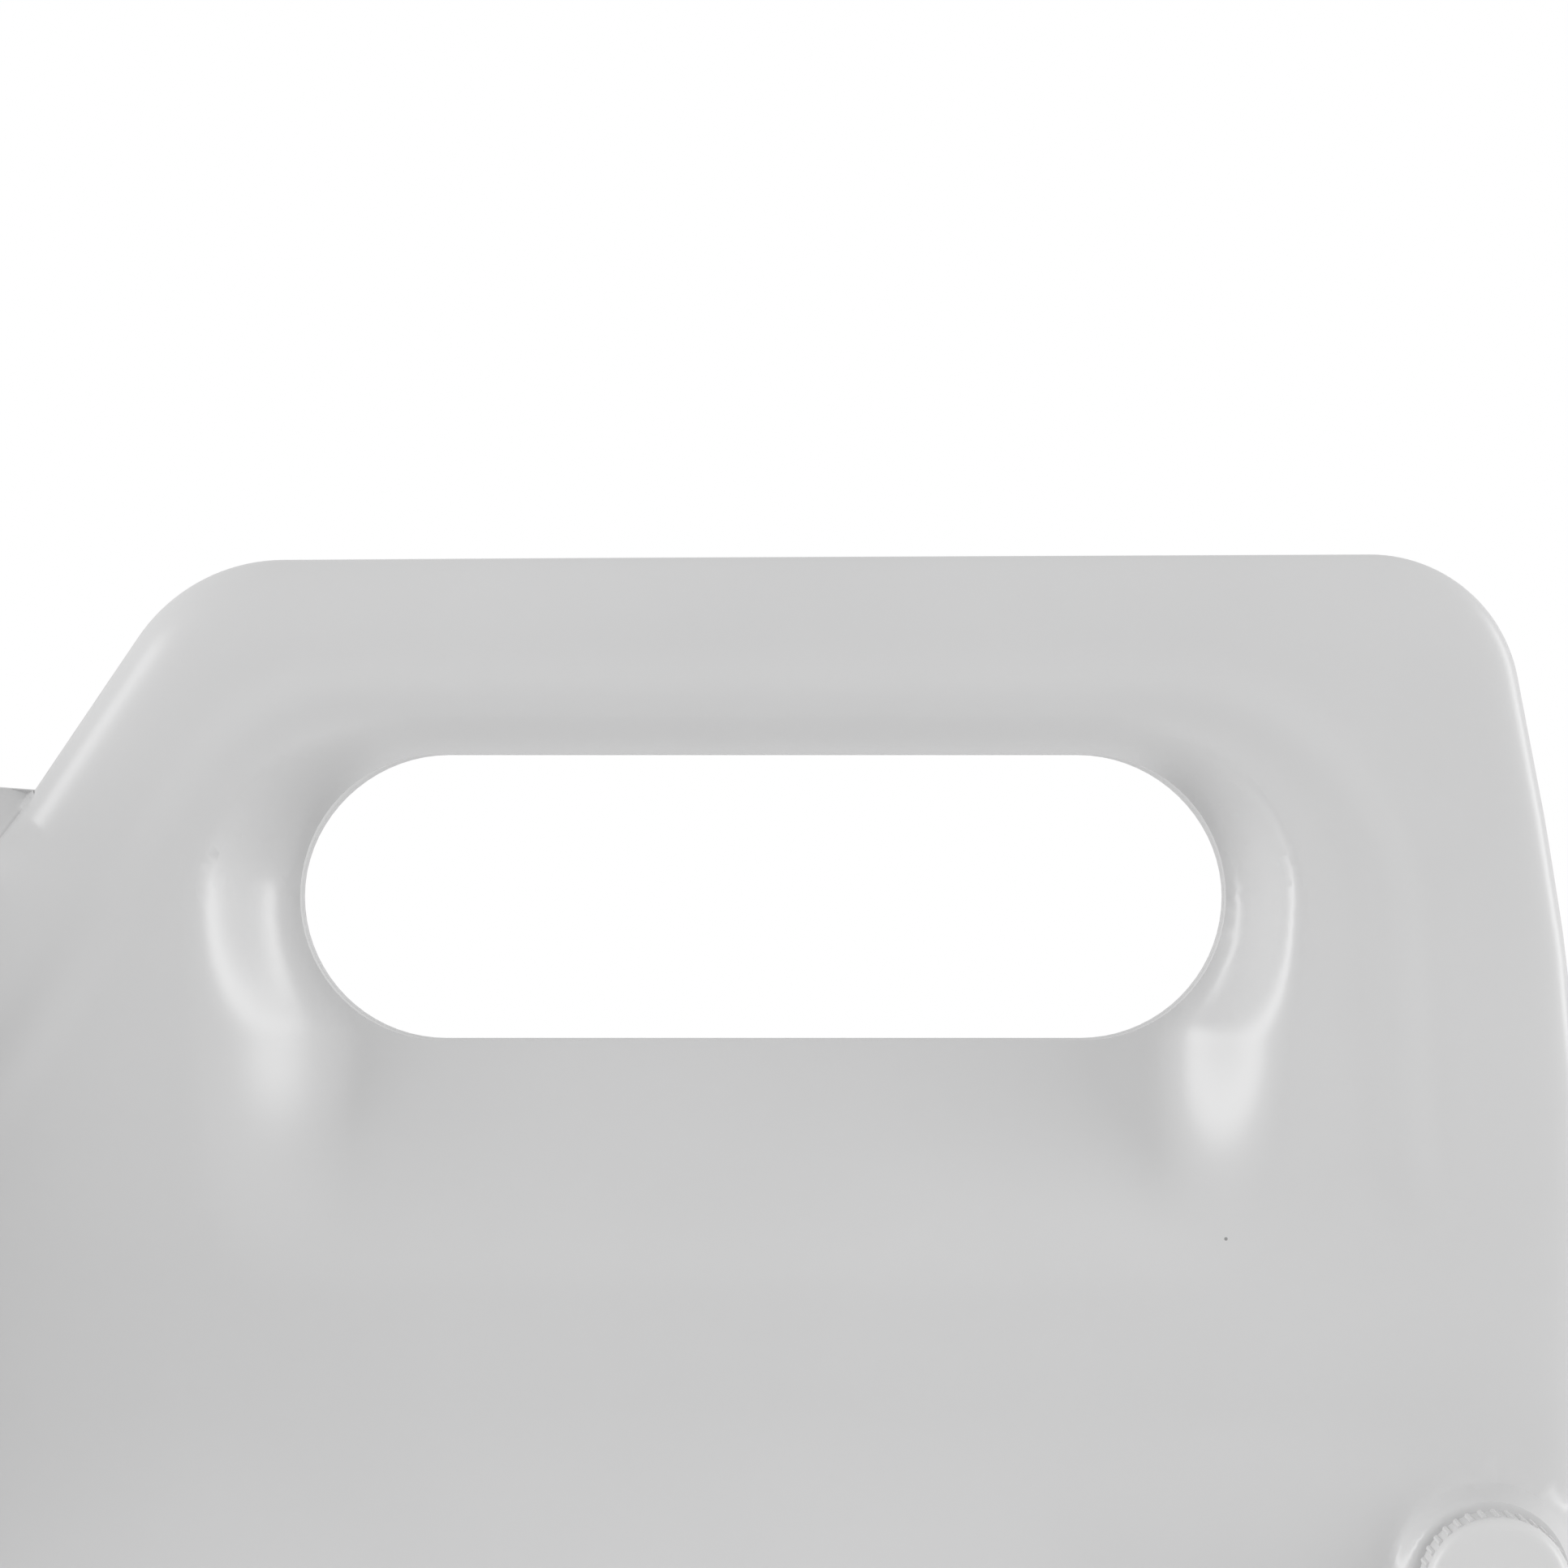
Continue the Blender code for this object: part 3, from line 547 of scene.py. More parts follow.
@dataclass
class TankShape:
    """The tank's outline in the front view, and the depth of its skin from the parting plane."""

    half_width: float = 0.1725
    height: float = 0.455
    wall: float = 0.003
    seam: float = 0.00015
    base_corner: float = 0.040
    shoulder: float = 0.428
    shoulder_corner: float = 0.030
    junction: tuple[float, float] = (-0.0188, 0.4258)
    junction_radius: float = 0.0004
    handle_left: Corner = (0.00045, 0.4543, 0.0218)
    handle_right: Corner = (0.16164, 0.455, 0.0185)
    right_foot: Corner = (0.1725, 0.3986, 0.258)
    handle_depth: float = 0.0165
    body_depth: float = 0.048
    swell_from: float = 0.350
    swell_to: float = 0.267
    spout_swell: float = 0.9
    handle_edge: float = 0.012
    body_edge: float = 0.020
    handle_side: float = 0.80
    body_side: float = 0.66
    flank_side: float = 0.58
    shoulder_side: float = 0.50
    shoulder_edge: float = 0.0110
    crease: float = 0.0006
    at_edge: float = 0.00005

    def outline(self, step: float, limit: float) -> tuple[Ring, Ring]:
        """Returns the tank's outline and its inward normals."""
        x, z = self.junction
        corners = [
            *self._foot(),
            self.right_foot, self.handle_right, self.handle_left,
            (x, z, self.junction_radius), (x - 0.030, self.shoulder, 0.020),
            (-self.half_width, self.shoulder, self.shoulder_corner),
        ]
        return split_runs(*rounded_path(corners, step), limit)

    def _foot(self) -> list[Corner]:
        """Returns the two corners of the base."""
        return [(-self.half_width, 0, self.base_corner), (self.half_width, 0, self.base_corner)]

    def flank(self) -> np.ndarray:
        """Returns the unit direction down the handle's left flank."""
        fall = np.array(self.junction) - np.array(self.handle_left[:2])
        return fall / np.linalg.norm(fall)

    def block_outline(self) -> Ring:
        """Returns the outline of the block under the handle, whose left flank runs on to the left wall."""
        way = self.flank()
        end_z = self.junction[1] + (-self.half_width - self.junction[0]) / way[0] * way[1]
        corners = [*self._foot(), self.right_foot, self.handle_right, self.handle_left,
                   (-self.half_width, end_z, 0.0)]
        return rounded_path(corners, math.radians(4))[0]

    def body_outline(self) -> Ring:
        """Returns the outline of the body under the shoulder, which runs on across the handle."""
        x, z = self.junction
        corners = [*self._foot(), self.right_foot, self.handle_right, (0.12, z, 0.0), (x, z, 0.0),
                   (x - 0.030, self.shoulder, 0.020), (-self.half_width, self.shoulder, self.shoulder_corner)]
        return rounded_path(corners, math.radians(4))[0]

    def swell(self, x: np.ndarray, z: np.ndarray) -> np.ndarray:
        """Returns 0 on the thin handle, 1 on the full body, and nearly 1 under the spout."""
        body = smooth((self.swell_from - z) / (self.swell_from - self.swell_to))
        spout = smooth((x + 0.168) / 0.036) * smooth((-0.045 - x) / 0.034)
        return 1 - (1 - body) * (1 - self.spout_swell * spout)

    def plateau(self, x: np.ndarray, z: np.ndarray) -> np.ndarray:
        """Returns the depth of the face, clear of its edges."""
        return blend(self.handle_depth, self.body_depth, self.swell(x, z))

    def edge_width(self, x: np.ndarray, z: np.ndarray) -> np.ndarray:
        """Returns how far the rounded edge reaches inwards."""
        return blend(self.handle_edge, self.body_edge, self.swell(x, z))

    def rise(self, points: Ring, wall: float) -> np.ndarray:
        """Returns the share of the face's depth that the rounded edge has reached.

        Args:
            points: The (x, z) places.
            wall: How far inside the outer skin this skin lies.

        Returns:
            A share from the side wall's, at the outline, to 1 past the rounded edge.
        """
        x, z = points.T
        share = self.swell(x, z)
        width, side = self.edge_width(x, z), blend(self.handle_side, self.body_side, share)
        block_inset = inset_of(points, self.block_outline()) - wall
        way = self.flank()
        off = points - np.array(self.junction)
        down = np.maximum(off @ way, 0)
        to_left = -(off @ np.array([-way[1], way[0]]))
        near_flank = smooth(1 - np.abs(to_left) / 0.05)
        foot = np.array(self.junction) + down[:, None] * way
        start = np.where(off @ way > 0, self._shoulder_rise(foot, wall), 0)
        start = np.maximum(blend(side, self.flank_side, near_flank * smooth((z - 0.35) / 0.03)), start)
        start = np.where(near_flank > 0, start, side)
        block = self._quarter(block_inset, width, start)
        shoulder = self._shoulder_rise(points, wall)
        over = smooth(1 + np.minimum(block_inset, 0) / self.crease)
        return blend(shoulder, block, np.where(block_inset > 0, 1.0, over))

    def _shoulder_rise(self, points: Ring, wall: float) -> np.ndarray:
        """Returns the rounded edge's rise under the shoulder, a gentler ramp beside the handle."""
        x, z = points.T
        share = self.swell(x, z)
        width, side = self.edge_width(x, z), blend(self.handle_side, self.body_side, share)
        inset = inset_of(points, self.body_outline()) - wall
        near = smooth((x + 0.085) / 0.045) * smooth((z - 0.385) / 0.02)
        round_ = self._quarter(inset, width, side)
        ramp = blend(self.shoulder_side, 1.0, smooth(inset / self.shoulder_edge))
        return np.where(inset > -1e-6, blend(round_, ramp, near), 0)

    def _quarter(self, inset: np.ndarray, width: np.ndarray, side: np.ndarray) -> np.ndarray:
        """Returns a quarter-round's rise over width, starting from side."""
        left = np.clip(1 - np.where(inset < self.at_edge, 0, inset) / width, 0, 1)
        return side + (1 - side) * np.sqrt(1 - left * left)


@dataclass(frozen=True)
class ScoopSide:
    """One side of the finger scoop, as distances out from the hand hole's round end.

    The scoop's floor ends at base and the handle's face starts at reach, each at the hole and at the foot.
    """

    reach: float
    reach_at_foot: float
    base: float
    base_at_foot: float


@dataclass
class HandHole:
    """The hand hole, and the finger scoop that thins the handle round it."""

    length: float = 0.115
    radius: float = 0.01775
    x: float = 0.0714
    z: float = 0.4125
    web: float = 0.0060
    grip_web: float = 0.0150
    top: float = 0.0228
    foot: float = 0.031
    left: ScoopSide = ScoopSide(0.0318, 0.0285, 0.0090, 0.0120)
    right: ScoopSide = ScoopSide(0.0268, 0.0235, 0.0090, 0.0085)

    @property
    def straight(self) -> float:
        """Returns how far the centres of the round ends are from the middle."""
        return self.length / 2 - self.radius

    def ring(self, grow: float = 0.0, steps: int = 36) -> Ring:
        """Returns the hole's outline, grown outwards."""
        right = np.linspace(-math.pi / 2, math.pi / 2, steps + 1)
        radius = self.radius + grow
        ends = [(self.x + self.straight, a) for a in right]
        ends += [(self.x - self.straight, a) for a in right + math.pi]
        ring = np.array([(x + radius * math.cos(a), self.z + radius * math.sin(a)) for x, a in ends])
        return split_runs(ring, np.zeros_like(ring), 0.002)[0]

    def grown(self, ring: Ring, grow: float) -> Ring:
        """Returns the hole's ring grown outwards, point for point."""
        along = np.clip(ring[:, :1] - self.x, -self.straight, self.straight)
        middle = np.array([self.x, self.z]) + [[1, 0]] * along
        return middle + (ring - middle) * (1 + grow / self.radius)

    def arc(self, share: float) -> Ring:
        """Returns a line over the hole from end to end, share of the way from its edge to the scoop's."""
        points = []
        for angle in np.radians(np.arange(0, 180.1, 3)):
            side = self.right if angle < math.pi / 2 else self.left
            edge = 1 / math.hypot(math.cos(angle) / side.reach, math.sin(angle) / self.top)
            radius = blend(self.radius, edge, share)
            centre = self.x + self.straight * (1 if angle < math.pi / 2 else -1)
            points.append((centre + radius * math.cos(angle), self.z + radius * math.sin(angle)))
        ring = np.array(points)
        return split_runs(ring, np.zeros_like(ring), 0.002)[0][: -1]

    def scooped(self, x: np.ndarray, z: np.ndarray, full: np.ndarray) -> np.ndarray:
        """Returns the depth round the hole: thin at its edge, rising to full at the scoop's edge."""
        beyond = np.abs(x - self.x) - self.straight
        on_left = x < self.x

        def of_side(name: str) -> np.ndarray:
            return np.where(on_left, getattr(self.left, name), getattr(self.right, name))

        out, over = np.maximum(beyond, 0), z - self.z
        angle = np.arctan2(over, out)
        edge = 1 / np.hypot(np.cos(angle) / of_side("reach"), np.sin(angle) / self.top)
        start = (of_side("base") ** 4 + self.radius**4) ** 0.25
        above = smooth((np.hypot(out, over) - start) / (edge - start))
        grip = blend(self.web, self.grip_web, smooth(angle / math.radians(75)))
        drop = -over
        down = np.clip(drop / (self.radius + self.foot), 0, 1)
        reach = blend(of_side("reach"), of_side("reach_at_foot"), down**1.5)
        base = blend(of_side("base"), of_side("base_at_foot"), down)
        end = np.sqrt(np.maximum(self.radius**2 - drop**2, 0))
        base = (base**4 + end**4) ** 0.25
        side = smooth((beyond - base) / (reach - base))
        ramp = smooth((drop - self.radius) / self.foot)
        below = 1 - (1 - side) * (1 - ramp)
        return np.where(over >= 0, blend(grip, full, above), blend(self.web, full, below))


@dataclass
class Bead:
    """The raised bead that follows the grip and stiffens it."""

    corners: tuple[Corner, ...] = (
        (0.1512, 0.3700, 0), (0.1475, 0.4384, 0.030), (0.0095, 0.4384, 0.022), (-0.0330, 0.3745, 0),
    )
    half_width: float = 0.0049
    height: float = 0.0008
    fade: float = 0.012

    def height_at(self, points: Ring) -> np.ndarray:
        """Returns how far the bead lifts the skin at each point."""
        path = rounded_path(list(self.corners), math.radians(5), closed=False)[0]
        distance, along = nearest(points, path, closed=False)
        total = np.linalg.norm(np.diff(path, axis=0), axis=1).sum()
        ends = smooth(along / self.fade) * smooth((total - along) / (3 * self.fade))
        across = np.clip(distance / self.half_width, 0, 1)
        return self.height * ends * np.cos(across * math.pi / 2) ** 2


@dataclass
class Skin:
    """One skin of a moulded piece, as the points, lines and holes that its mesh is drawn through."""

    boundary: Ring
    lines: list[Ring] = field(default_factory=list)
    holes: list[Ring] = field(default_factory=list)
    points: list[Ring] = field(default_factory=list)

    def mesh_into(self, bm: bmesh.types.BMesh, depth, side: int) -> None:
        """Adds the skin to a bmesh.

        Args:
            bm: The bmesh.
            depth: Gives each (x, z) point's depth.
            side: The side of the parting plane, -1 or 1.
        """
        flat, edges, start = [], [], 0
        for ring in (self.boundary, *self.holes):
            count = len(ring)
            edges += [(start + i, start + (i + 1) % count) for i in range(count)]
            flat, start = [*flat, ring], start + count
        for line in self.lines:
            edges += [(start + i, start + i + 1) for i in range(len(line) - 1)]
            flat, start = [*flat, line], start + len(line)
        flat = np.vstack([*flat, *self.points])
        places, _, faces, origins = delaunay_2d_cdt(flat.tolist(), edges, [], 0, 1e-7)[:4]
        places = np.array([tuple(place) for place in places])
        faces = np.array([face for face in faces if len(face) == 3])
        middles = places[faces].mean(axis=1)
        (ax, az), (bx, bz) = ((places[faces[:, i]] - places[faces[:, 0]]).T for i in (1, 2))
        on_edge = np.array([any(i < len(self.boundary) for i in origin) for origin in origins])
        outside = on_edge[faces].all(axis=1) & (np.abs(ax * bz - az * bx) < SLIVER)
        kept = inside(middles, self.boundary) & ~outside
        for hole in self.holes:
            kept &= ~inside(middles, hole)
        faces = faces[kept]
        used = np.unique(faces)
        depths = depth(places[used])
        verts = {
            i: bm.verts.new((places[i][0], side * d, places[i][1]))
            for i, d in zip(used.tolist(), depths)
        }
        for face in faces.tolist():
            bm.faces.new([verts[i] for i in face])


def add_band(bm: bmesh.types.BMesh, ring: Ring, first, second, side: int, inner: Ring | None = None) -> None:
    """Joins two rings of depths with a band of faces.

    Args:
        bm: The bmesh.
        ring: The (x, z) points of the first ring.
        first: The first ring's depths.
        second: The second ring's depths.
        side: The side of the parting plane, -1 or 1.
        inner: The second ring's points, where they differ from the first's.
    """
    inner = ring if inner is None else inner
    first, second = (np.broadcast_to(depths, len(ring)) for depths in (first, second))
    lower = [bm.verts.new((x, side * d, z)) for (x, z), d in zip(ring, first)]
    upper = [bm.verts.new((x, side * d, z)) for (x, z), d in zip(inner, second)]
    for i in range(len(ring)):
        j = (i + 1) % len(ring)
        bm.faces.new([lower[i], lower[j], upper[j], upper[i]])


@dataclass
class CatchBasin:
    """The lipped tray in the tank's front, with a sump round the drain."""

    z: float = 0.144
    half: tuple[float, float] = (0.146, 0.118)
    corner: float = 0.045
    rim: float = 0.005
    wall: float = 0.003
    body_depth: float = 0.048
    lip: float = 0.054
    floor_edge: float = 0.016
    floor: float = 0.015
    sump_radius: float = 0.030
    sump_rim: float = 0.0125
    sump: float = 0.010
    drain_hole: float = 0.0125
    channels: int = 12
    channel_depth: float = 0.0009
    channel_width: float = 0.0028

    def box(self, inset: float, step_deg: float = 5.0, limit: float = 0.004) -> Ring:
        """Returns the rounded outline at an inset from the lip's crest."""
        x, z, r = self.half[0] - inset, self.half[1] - inset, self.corner - inset
        corners = [(-x, self.z - z, r), (x, self.z - z, r), (x, self.z + z, r), (-x, self.z + z, r)]
        return split_runs(*rounded_path(corners, math.radians(step_deg)), limit)[0]

    def profile(self) -> Ring:
        """Returns the (inset, depth) line over the lip and down the wall to the floor."""
        corners = [
            (-self.rim, self.body_depth, 0.0), (-0.0028, self.body_depth + 0.0002, 0.0012),
            (-0.0022, self.lip, 0.0011), (0.0006, self.lip, 0.0011), (0.0026, 0.044, 0.006),
            (0.0088, 0.0162, 0.006), (self.floor_edge + 0.006, self.floor, 0.0),
        ]
        return rounded_path(corners, math.radians(15), closed=False)[0]

    def depth(self, points: Ring) -> np.ndarray:
        """Returns the depth of the tray's face."""
        inset = inset_of(points, self.box(0.0))
        line = self.profile()
        order = np.argsort(line[:, 0], kind="stable")
        wall = np.interp(inset, line[order, 0], line[order, 1])
        radius = np.hypot(points[:, 0], points[:, 1] - self.z)
        fall = smooth((0.105 - radius) / (0.105 - self.sump_radius))
        floor = self.floor - (self.floor - self.sump_rim) * fall
        turn = np.arctan2(points[:, 1] - self.z, points[:, 0]) * self.channels / math.tau
        off = np.abs(turn - np.round(turn)) * math.tau / self.channels * radius
        in_reach = smooth((radius - self.sump_radius) / 0.004)
        in_reach = in_reach * smooth((inset - self.floor_edge - 0.006) / 0.006)
        floor = floor - self.channel_depth * in_reach * smooth(1 - off / self.channel_width)
        pool = smooth((self.sump_radius - radius) / 0.003)
        floor = blend(floor, self.sump, pool)
        return np.where(inset < self.floor_edge + 0.006, wall, floor)

    def inner_depth(self, points: Ring) -> np.ndarray:
        """Returns the depth of the tray's underside."""
        inset = inset_of(points, self.box(0.0)) + self.wall
        wall = np.interp(inset, [0.0015, 0.009, self.floor_edge], [self.body_depth, 0.020, self.floor])
        radius = np.hypot(points[:, 0], points[:, 1] - self.z)
        pool = smooth((self.sump_radius + 0.002 - radius) / 0.003)
        return blend(wall, self.sump, pool) - self.wall

    def build(self, finish: Finish) -> bpy.types.Object:
        """Returns the tray."""
        rim, hole = self.box(-self.rim), circle(0, self.z, self.drain_hole, 64)
        insets = np.unique(np.round(self.profile()[1:, 0], 5))
        rings = [self.box(inset, 4.0, 0.003) for inset in insets[insets > -self.rim + 1e-4]]
        rounds = [circle(0, self.z, self.sump_radius - drop, 96) for drop in (0.003, 0.002, 0.001, 0.0)]
        grid = hex_grid((-0.15, 0.02), (0.15, 0.268), 0.0019)
        radius = np.hypot(grid[:, 0], grid[:, 1] - self.z)
        on_floor = inset_of(grid, self.box(self.floor_edge + 0.007)) > 0
        off_rounds = abs(radius - self.sump_radius + 0.0015) > 0.0025
        grid = grid[on_floor & (radius > self.drain_hole + 0.002) & off_rounds]
        closed = [np.vstack([ring, ring[:1]]) for ring in (*rings, *rounds)]
        outer = Skin(rim, closed, [hole], [grid])
        under = [self.box(inset, 6.0, 0.008) for inset in (-0.0015, 0.002, 0.006, 0.0095, 0.013)]
        under += [circle(0, self.z, self.sump_radius - 0.001), circle(0, self.z, self.sump_radius + 0.002)]
        inner = Skin(rim, [np.vstack([ring, ring[:1]]) for ring in under], [hole])
        bm = bmesh.new()
        outer.mesh_into(bm, self.depth, -1)
        inner.mesh_into(bm, self.inner_depth, -1)
        for ring in (rim, hole):
            add_band(bm, ring, self.depth(ring), self.inner_depth(ring), -1)
        bmesh.ops.remove_doubles(bm, verts=bm.verts, dist=WELD)
        return add_piece("catch_basin_moulding", mesh_of(bm), finish)


@dataclass
class BackPanel:
    """The flat panel in the back, with the feet that the pan lies on, and the level marks beside it."""

    basin: CatchBasin = field(default_factory=CatchBasin)
    finish: Finish = TANK_PLASTIC
    face: float = 0.048
    wall: float = 0.003
    feet: tuple[Corner, ...] = tuple((x, z, 0.016) for x in (-0.115, 0.115) for z in (0.050, 0.235))
    foot_height: float = 0.006
    half: tuple[float, float] = (0.1515, 0.123)
    corner: float = 0.022
    recess: tuple[float, float] = (0.082, 0.080)
    recess_depth: float = 0.0014
    groove_depth: float = 0.0012

    def depth(self, points: Ring) -> np.ndarray:
        """Returns the depth of the panel's face."""
        x, z = points.T
        lift = np.zeros(len(points))
        for foot_x, foot_z, radius in self.feet:
            lift += self.foot_height * smooth((radius - np.hypot(x - foot_x, z - foot_z)) / 0.004)
        lift -= self.recess_depth * smooth(inset_of(points, self._recess(0.0)) / 0.0028)
        for place in (-0.05, 0.0, 0.05):
            run = smooth((0.066 - np.abs(z - self.basin.z)) / 0.008)
            lift += self.groove_depth * run * smooth(1 - np.abs(x - place) / 0.0045)
        return self.face + lift

    def rim(self, grow: float = 0.0) -> Ring:
        """Returns the panel's outline, grown outwards."""
        return self._box(self.half, self.corner, -grow)

    def _recess(self, inset: float) -> Ring:
        """Returns the outline of the shallow recess, inset."""
        return self._box(self.recess, 0.014, inset)

    def _box(self, half: tuple[float, float], corner: float, inset: float) -> Ring:
        """Returns a rounded outline round the panel's middle."""
        x, z, r, middle = half[0] - inset, half[1] - inset, corner - inset, self.basin.z
        corners = [(-x, middle - z, r), (x, middle - z, r), (x, middle + z, r), (-x, middle + z, r)]
        return split_runs(*rounded_path(corners, math.radians(6)), 0.004)[0]

    def build(self) -> bpy.types.Object:
        """Returns the panel."""
        rim = self.rim()
        lines = [self._recess(inset) for inset in (0.0, 0.0009, 0.0019, 0.0028)]
        lines += [circle(x, z, radius - shrink, 64) for x, z, radius in self.feet
                  for shrink in (0.0, 0.0007, 0.0014, 0.002, 0.0026, 0.0033, 0.004)]
        grid = hex_grid((-0.152, 0.02), (0.152, 0.268), 0.0024)
        grid = grid[inset_of(grid, rim) > 0.002]
        bm = bmesh.new()
        Skin(rim, [np.vstack([ring, ring[:1]]) for ring in lines], [], [grid]).mesh_into(bm, self.depth, 1)
        Skin(rim, [], [], [hex_grid((-0.14, 0.03), (0.14, 0.26), 0.02)]).mesh_into(
            bm, lambda points: np.full(len(points), self.face - self.wall), 1)
        add_band(bm, rim, self.face, self.face - self.wall, 1)
        bmesh.ops.remove_doubles(bm, verts=bm.verts, dist=WELD)
        return add_piece("back_panel_moulding", mesh_of(bm), self.finish)


@dataclass
class TankMoulding:
    """The tank's two moulded halves and the basin between them."""

    shape: TankShape = field(default_factory=TankShape)
    hole: HandHole = field(default_factory=HandHole)
    bead: Bead = field(default_factory=Bead)
    basin: CatchBasin = field(default_factory=CatchBasin)
    panel: BackPanel = field(default_factory=BackPanel)
    finish: Finish = TANK_PLASTIC
    vent: Corner = (0.1605, 0.3288, 0.0093)
    vent_seat: float = 0.0225
    vent_hole: float = 0.0053
    spout: tuple[float, float] = (-0.105, 0.0193)
    marks: tuple[Corner, ...] = ((0.0182, 0.4431, 0.0011), (0.1165, 0.4504, 0.0016), (0.1492, 0.4252, 0.0009))
    mark_height: float = 0.00012
    junction_reach: float = 0.016

    def depth(self, half: Half, wall: float = 0.0):
        """Returns the function that gives a half's depth, wall inside its outer skin."""

        def measure(points: Ring) -> np.ndarray:
            x, z = points.T
            full = self.shape.plateau(x, z)
            scooped = self.hole.scooped(x, z, full)
            depth = (full - wall) * self.shape.rise(points, wall) + scooped - full
            if wall == 0:
                depth = depth + self.bead.height_at(points) + self._marks(points)
            if half is Half.FRONT:
                radius = np.hypot(x - self.vent[0], z - self.vent[1])
                depth = blend(self.vent_seat - wall, depth, smooth((radius - self.vent[2] - 0.0002) / 0.003))
            return np.maximum(depth, self.shape.seam)

        return measure

    def _marks(self, points: Ring) -> np.ndarray:
        """Returns the height of the small round marks that the mould leaves."""
        height = np.zeros(len(points))
        for x, z, radius in self.marks:
            gap = np.hypot(points[:, 0] - x, points[:, 1] - z)
            height += self.mark_height * smooth((radius - gap) / (0.4 * radius))
        return height

    def _edge_lines(self, points: Ring, normals: Ring, half: Half) -> list[Ring]:
        """Returns the lines round the rounded edge, left open at the junction and round the vent."""
        width = self.shape.edge_width(*points.T)[:, None]
        lines = []
        for turn in np.radians(np.linspace(9, 90, 13)):
            ring = points + normals * width * (1 - math.cos(turn))
            far = np.linalg.norm(ring - np.array(self.shape.junction), axis=1) > self.junction_reach
            if half is Half.FRONT:
                far &= np.linalg.norm(ring - np.array(self.vent[:2]), axis=1) > self.vent[2] + 0.004
            if far.all():
                lines.append(np.vstack([ring, ring[:1]]))
                continue
            first = int(np.argmin(far))
            ring, far = np.roll(ring, -first, axis=0), np.roll(far, -first)
            runs = np.split(np.arange(len(ring)), np.flatnonzero(np.diff(far)) + 1)
            lines += [ring[run] for run in runs if far[run[0]] and len(run) > 1]
        return lines

    def _crease_lines(self) -> list[Ring]:
        """Returns lines down the crease where the handle's flank runs on into the shoulder."""
        way = self.shape.flank()
        out = np.array([way[1], -way[0]])
        out = out if out[0] < 0 else -out
        along = np.arange(0.0009, 0.0155, 0.0006)[:, None]
        start = np.array(self.shape.junction)
        offsets = (-0.3, 0, 0.35, 0.7, 1.0)
        return [start + way * along + out * offset * self.shape.crease for offset in offsets]

    def _grids(self, points: Ring, half: Half) -> list[Ring]:
        """Returns the skin's loose points: fine on the handle and the junction, coarse on the body."""
        junction = np.array(self.shape.junction)
        fine = hex_grid((-0.170, 0.31), (0.170, 0.452), 0.0014 if half is Half.FRONT else 0.0022)
        coarse = hex_grid((-0.170, 0.003), (0.170, 0.31), 0.0045)
        close = hex_grid(
            tuple(junction - self.junction_reach), tuple(junction + self.junction_reach), 0.00048)
        width = self.shape.edge_width(*fine.T)
        off_junction = np.linalg.norm(fine - junction, axis=1) > self.junction_reach
        fine = fine[(inset_of(fine, points) > width + 0.0008) & off_junction]
        coarse = coarse[inset_of(coarse, points) > self.shape.edge_width(*coarse.T) + 0.001]
        near = np.linalg.norm(close - junction, axis=1) < self.junction_reach - 0.0002
        close = close[(inset_of(close, points) > 0.0003) & near]
        crease = np.vstack(self._crease_lines())
        apart = nearest(close, crease, closed=False)[0] > 0.0004
        return [fine, coarse, close[apart]]

    def build(self, half: Half) -> bpy.types.Object:
        """Returns one half of the tank."""
        side = half.value
        points, normals = self.shape.outline(math.radians(3), 0.003)
        hole = self.hole.ring()
        hole_lines = [self.hole.arc(share) for share in (0.12, 0.25, 0.37, 0.5, 0.63, 0.75, 0.88, 1.0)]
        mouth = self.basin.box(-self.basin.rim - 0.0001) if half is Half.FRONT else self.panel.rim(0.0001)
        openings = [hole, mouth]
        lines = [*self._edge_lines(points, normals, half), *self._crease_lines(), *hole_lines]
        if half is Half.FRONT:
            openings.append(circle(*self.vent[:2], self.vent_hole, 32))
            lines += self._seat_lines()
        loose = []
        for grid in self._grids(points, half):
            for opening in openings:
                grid = grid[inset_of(grid, opening) < -0.0006]
            loose.append(grid)
        outer = Skin(points, lines, openings, loose)
        inner_points = points + normals * self.shape.wall
        inner_grid = hex_grid((-0.165, 0.006), (0.165, 0.445), 0.006)
        inner_grid = inner_grid[inset_of(inner_grid, inner_points) > 0.003]
        sleeve = self.hole.grown(hole, self.shape.wall)
        inner_openings = [sleeve, *openings[1:]]
        for opening in inner_openings:
            inner_grid = inner_grid[inset_of(inner_grid, opening) < -0.003]
        inner = Skin(inner_points, [], inner_openings, [inner_grid])
        depth, inner_depth = self.depth(half), self.depth(half, self.shape.wall)
        bm = bmesh.new()
        outer.mesh_into(bm, depth, side)
        inner.mesh_into(bm, inner_depth, side)
        bevel = points + normals * 0.0004
        add_band(bm, points, depth(points), self.shape.seam + 0.0005, side)
        add_band(bm, points, self.shape.seam + 0.0005, self.shape.seam, side, bevel)
        add_band(bm, bevel, self.shape.seam, self.shape.seam, side, inner_points)
        add_band(bm, inner_points, self.shape.seam, inner_depth(inner_points), side)
        for opening in openings[1:]:
            add_band(bm, opening, depth(opening), inner_depth(opening), side)
        add_band(bm, hole, depth(hole), self.shape.seam, side)
        add_band(bm, hole, self.shape.seam, self.shape.seam, side, sleeve)
        add_band(bm, sleeve, self.shape.seam, inner_depth(sleeve), side)
        bmesh.ops.remove_doubles(bm, verts=bm.verts, dist=WELD)
        mesh = united(mesh_of(bm), self._spout_bore(), "DIFFERENCE", "MANIFOLD")
        return add_piece(f"{half.name.lower()}_moulding", mesh, self.finish)

